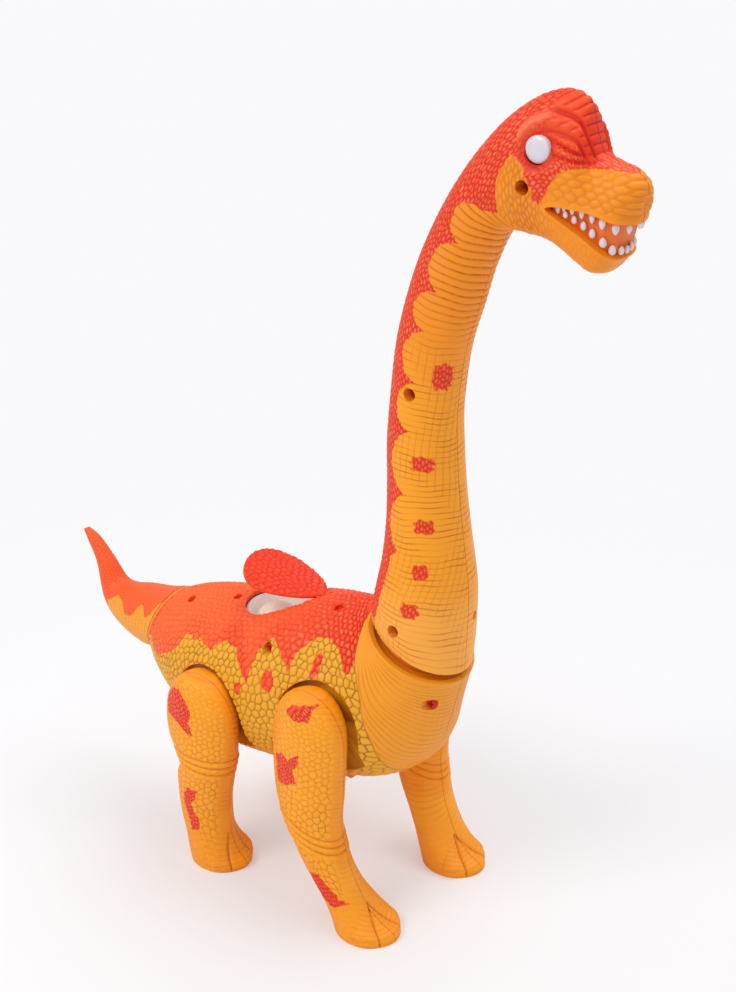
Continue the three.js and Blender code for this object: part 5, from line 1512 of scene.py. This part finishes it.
# Neck hub, smooth under the collar
def make_neck_hub():
    under = -COLLAR_DEPTH - SHELL_WALL - RUNNING_GAP
    hub = turned([
        (0, under - 2), (NECK_SPIGOT + 3, under - 2), (NECK_SPIGOT + 3, under), (NECK_SPIGOT, under),
        (NECK_SPIGOT, 5.5), (NECK_SPIGOT + 2.2, 5.5), (NECK_SPIGOT + 2.2, 8.5), (0, 8.5),
    ], collar.centre, collar.axis, 72)
    add_piece("neck_hub_turned", hub, "neck", "bright_orange", bright_orange, "neck_hub")


make_neck_hub()

# Mouth wall and teeth: each tooth's middle on the right side, its half width and half height
UPPER_TEETH = (
    ((138.7, -14.8, 380.3), 1.35, 1.75),
    ((141.3, -14.6, 381.2), 1.15, 1.6),
    ((144.9, -14.0, 380.7), 1.4, 1.8),
    ((148.9, -13.2, 379.8), 1.5, 2.05),
    ((153.4, -12.5, 378.6), 1.6, 2.15),
    ((157.8, -11.8, 376.9), 1.85, 2.35),
    ((162.9, -9.9, 375.2), 2.0, 2.35),
    ((166.3, -5.2, 374.9), 1.7, 2.0),
    ((168.0, 0.0, 375.9), 1.6, 1.9),
)
LOWER_TEETH = (
    ((142.0, -14.3, 378.6), 1.25, 1.5),
    ((145.8, -13.6, 377.0), 1.35, 1.7),
    ((149.8, -12.8, 375.0), 1.45, 1.85),
    ((153.6, -12.1, 372.4), 1.55, 2.0),
    ((158.2, -11.2, 369.3), 1.75, 2.1),
    ((161.0, -8.4, 366.1), 1.75, 2.15),
    ((162.5, -3.9, 365.2), 1.5, 1.9),
    ((162.9, 0.0, 364.9), 1.4, 1.7),
)


# A rounded tooth that narrows towards its tip.
def tooth(middle, up, wide, tall, taper):
    x, y = middle[:2]
    outwards = unit(np.array([max(x - 150.0, 0.0) ** 2 / 120.0, y / 6.0, 0.0]))
    side = unit(np.cross(up, outwards))
    work = bmesh.new()
    bmesh.ops.create_uvsphere(work, u_segments=20, v_segments=14, radius=1.0)
    for vertex in work.verts:
        a, b, c = vertex.co
        narrow = 1.0 - taper * (c * 0.5 + 0.5)
        flat = side * (a * wide * narrow) + outwards * (b * wide * 0.75 * narrow)
        vertex.co = np.array(middle) + flat + up * (c * tall)
    mesh = bpy.data.meshes.new("tooth")
    work.to_mesh(mesh)
    work.free()
    return mesh


def teeth_row(teeth, up, taper):
    row = []
    for middle, wide, tall in teeth:
        one = tooth(middle, np.array([0.0, 0.0, up]), wide, tall, taper)
        row.append(one)
        if middle[1] < 0.0:
            row.append(mirrored(one))
    return joined(row)


def make_mouth():
    outside = loft_mesh(drawn_in(NECK_STATIONS, SHELL_WALL + FIT)[:-2], 1.2, 120)
    inside_loft = loft_mesh(drawn_in(NECK_STATIONS, SHELL_WALL + 3.0)[:-3], 1.2, 120)
    wall = carved(outside, [
        (CUT, inside_loft),
        (KEEP, plate_xz(mouth_outline(1.5), -40, 40)),
        (CUT, box(100, MOUTH_CORNER[0] + 1, -40, 40, 340, 420)),
    ])
    add_piece("mouth_wall_smooth", wall, "neck", "deep_orange", deep_orange, "mouth_wall")
    upper = teeth_row(UPPER_TEETH, -1.0, 0.5)
    lower = teeth_row(LOWER_TEETH, 1.0, 0.2)
    add_piece("teeth_upper_row", upper, "neck", "tooth_white", tooth_gloss, "teeth_upper")
    add_piece("teeth_lower_row", lower, "neck", "tooth_white", tooth_gloss, "teeth_lower")


make_mouth()


# Eyes: a milky dome over a small lamp
def make_eyes():
    for side, word in SIDES:
        profile = [(0, 12.5), (EYE_RADIUS, 12.5), (EYE_RADIUS, EYE_RIM)]
        for k in range(1, 13):
            angle = math.pi / 2 * k / 12
            radius = EYE_RADIUS * math.cos(angle) if k < 12 else 0
            profile.append((radius, EYE_RIM + 1.6 * math.sin(angle)))
        lens = turned(profile, (EYE[0], 0, EYE[1]), (0, side, 0), 64)
        add_piece(f"eye_dome_{word}", lens, "neck", "milky_lens", milky, f"eye_lens_{word}")


make_eyes()


# Egg, tray, chute
def make_egg_works():
    gate_top = TRAY_FLOOR - RUNNING_GAP
    centre = (HATCH_MIDDLE, 0, gate_top + FIT + EGG_RADIUS * (1 + EGG_BLUNT * EGG_BLUNT))
    profile = []
    for k in range(41):
        angle = math.pi * k / 40
        blunt = 1 + EGG_BLUNT * math.cos(angle)
        radius = 0 if k in (0, 40) else EGG_RADIUS * math.sin(angle) * blunt
        profile.append((radius, -EGG_HALF_LENGTH * math.cos(angle)))
    egg = turned(profile, centre, (1, 0, 0), 72)
    add_piece("egg_smooth", egg, "body", "cream_plastic", egg_gloss_painted_glow, "egg")
    under = loft_mesh(drawn_in(BODY_STATIONS, LID_THICKNESS + 1.2))
    hollow = carved(plate_xy(hatch_outline(-FIT - TRAY_WALL), TRAY_FLOOR + TRAY_WALL, FAR_UP), [
        (CUT, box(TRAY_FRONT - TRAY_WALL, TRAY_FRONT + 20, -40, 40, TRAY_FLOOR, FAR_UP)),
    ])
    tray = carved(plate_xy(hatch_outline(-FIT), TRAY_FLOOR, FAR_UP), [
        (KEEP, under),
        (KEEP, box(-80, TRAY_FRONT, -40, 40, TRAY_FLOOR - 5, FAR_UP)),
        (CUT, hollow),
        (CUT, rod((HATCH_MIDDLE - 6.4, 0, TRAY_FLOOR), (0, 0, 1), 13, -5, 10)),
        (CUT, knuckle_notch()),
    ])
    add_piece("egg_tray_smooth", tray, "body", "white_plastic", white_gloss_painted_glow, "egg_tray")
    chute = carved(rod(CHUTE_ENTRY, CHUTE_AXIS, CHUTE_OUTER, -30, 90), [
        (CUT, rod(CHUTE_ENTRY, CHUTE_AXIS, CHUTE_INNER, -60, 120)),
        (KEEP, box(-140, 20, -40, 40, 30, CHUTE_TOP)),
        (KEEP, loft_mesh(BODY_STATIONS)),
    ])
    add_piece("egg_chute_smooth", chute, "body", "white_plastic", white_gloss_painted_glow, "egg_chute")


make_egg_works()


# Screws with a cross slot, coloured deep red as painted shade for the red seen down their holes
def make_screws():
    profile = [
        (0, 0.35), (1.6, 0.15), (2.35, -0.35), (2.6, -0.9), (2.6, -1.8), (SCREW_RADIUS, -1.8),
        (SCREW_RADIUS, -0.3 - SCREW_LENGTH), (0, -1.8 - SCREW_LENGTH),
    ]
    for name, (part, (x, z), mouth, seat) in SCREWS.items():
        head = -seat - FIT
        slots = [
            (CUT, box(x - long, x + long, head - 2.6, head - 1.1, z - tall, z + tall))
            for long, tall in ((1.7, 0.35), (0.35, 1.7))
        ]
        screw = carved(turned(profile, (x, head - 1.8, z), (0, -1, 0), 32), slots)
        add_piece(f"{name}_cross", screw, part, "steel", screw_red_painted_shade, name)


make_screws()

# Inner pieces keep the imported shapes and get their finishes
FINISHES = {
    steel: ("hatch_pin", "motor_pinion", "motor", "contact_rear", "contact_front"),
    white_gloss_painted_glow: ("egg_gate", "eye_lamp_right", "eye_lamp_left"),
    nylon: (
        "hip_lever_front_right", "hip_lever_front_left", "hip_lever_hind_right", "hip_lever_hind_left",
        "side_bar_right", "side_bar_left", "step_gear_first", "step_gear_second",
        "crank_gear", "crank_disc_right", "crank_disc_left",
    ),
    case_grey: ("gear_case_right", "gear_case_left", "battery_box"),
    cell_jacket: ("cell_1", "cell_2", "cell_3"),
    board_green: ("circuit_board",),
    black_plastic: ("speaker",),
    bright_orange: ("power_switch",),
}
for finish, names in FINISHES.items():
    for name in names:
        node = frame["nodes"][name]
        node.data.materials.clear()
        node.data.materials.append(finish)

# Floor, light and camera
CAMERA_PLACE = (0.517922, -0.612306, 0.574668)
CAMERA_PITCH = 24.5
CAMERA_AZIMUTH = 38.5
CAMERA_LENS = 65.32
LONG_SIDE = 36.0
FLOOR_HALF = 12.0


def make_floor():
    square = ((-1, -1), (1, -1), (1, 1), (-1, 1))
    mesh = new_mesh([(FLOOR_HALF * x, FLOOR_HALF * y, 0) for x, y in square], [(0, 1, 2, 3)])
    nodes = Nodes("pale_floor")
    path = nodes.tree.nodes.new("ShaderNodeLightPath").outputs["Is Camera Ray"]
    drift = nodes.ranged(nodes.noise(1.2, 2.0), 0.3, 0.7)
    tint = nodes.mixed(drift, (0.87, 0.86, 0.872, 1), (0.89, 0.88, 0.89, 1))
    nodes.link(nodes.mixed(path, (0.82, 0.82, 0.83, 1), tint), nodes.shader.inputs["Base Color"])
    nodes.shader.inputs["Roughness"].default_value = 0.9
    nodes.shader.inputs["Specular IOR Level"].default_value = 0.1
    # Away from the toy the floor fades into an even pale backdrop.
    length = nodes.tree.nodes.new("ShaderNodeVectorMath")
    length.operation = "LENGTH"
    nodes.link(nodes.place(), length.inputs[0])
    far = nodes.ranged(length.outputs["Value"], 0.16, 0.5, 0.32, 1.0)
    glow = nodes.tree.nodes.new("ShaderNodeEmission")
    glow.inputs["Color"].default_value = (0.95, 0.95, 0.965, 1)
    faded = nodes.tree.nodes.new("ShaderNodeMixShader")
    nodes.link(nodes.sum("MULTIPLY", path, far), faded.inputs[0])
    nodes.link(nodes.shader.outputs[0], faded.inputs[1])
    nodes.link(glow.outputs[0], faded.inputs[2])
    nodes.link(faded.outputs[0], nodes.tree.nodes["Material Output"].inputs["Surface"])
    mesh.materials.append(nodes.material)
    floor = bpy.data.objects.new("floor", mesh)
    bpy.context.scene.collection.objects.link(floor)


def add_light(name, place, target, size, power, tint=(1.0, 1.0, 1.0)):
    data = bpy.data.lights.new(name, "AREA")
    data.shape = "DISK"
    data.size = size
    data.energy = power
    data.color = tint
    light = bpy.data.objects.new(name, data)
    light.location = place
    light.rotation_euler = (Vector(target) - Vector(place)).to_track_quat("-Z", "Y").to_euler()
    bpy.context.scene.collection.objects.link(light)


def make_stage():
    make_floor()
    world = bpy.data.worlds.new("studio")
    bpy.context.scene.world = world
    world.use_nodes = True
    background = world.node_tree.nodes["Background"]
    background.inputs["Color"].default_value = (0.97, 0.98, 1.0, 1.0)
    background.inputs["Strength"].default_value = 0.72
    middle = (0.0, 0.0, 0.2)
    add_light("key", (-0.5, -1.4, 1.6), middle, 1.0, 14.0)
    add_light("top", (0.3, 0.6, 1.9), middle, 1.4, 12.0)
    camera_data = bpy.data.cameras.new("camera")
    camera_data.lens = CAMERA_LENS
    camera_data.sensor_width = LONG_SIDE
    camera_data.clip_end = 50.0
    camera = bpy.data.objects.new("camera", camera_data)
    camera.location = CAMERA_PLACE
    camera.rotation_euler = (math.radians(90.0 - CAMERA_PITCH), 0.0, math.radians(CAMERA_AZIMUTH))
    bpy.context.scene.collection.objects.link(camera)
    bpy.context.scene.camera = camera
    bpy.context.scene.view_settings.view_transform = "Standard"


make_stage()
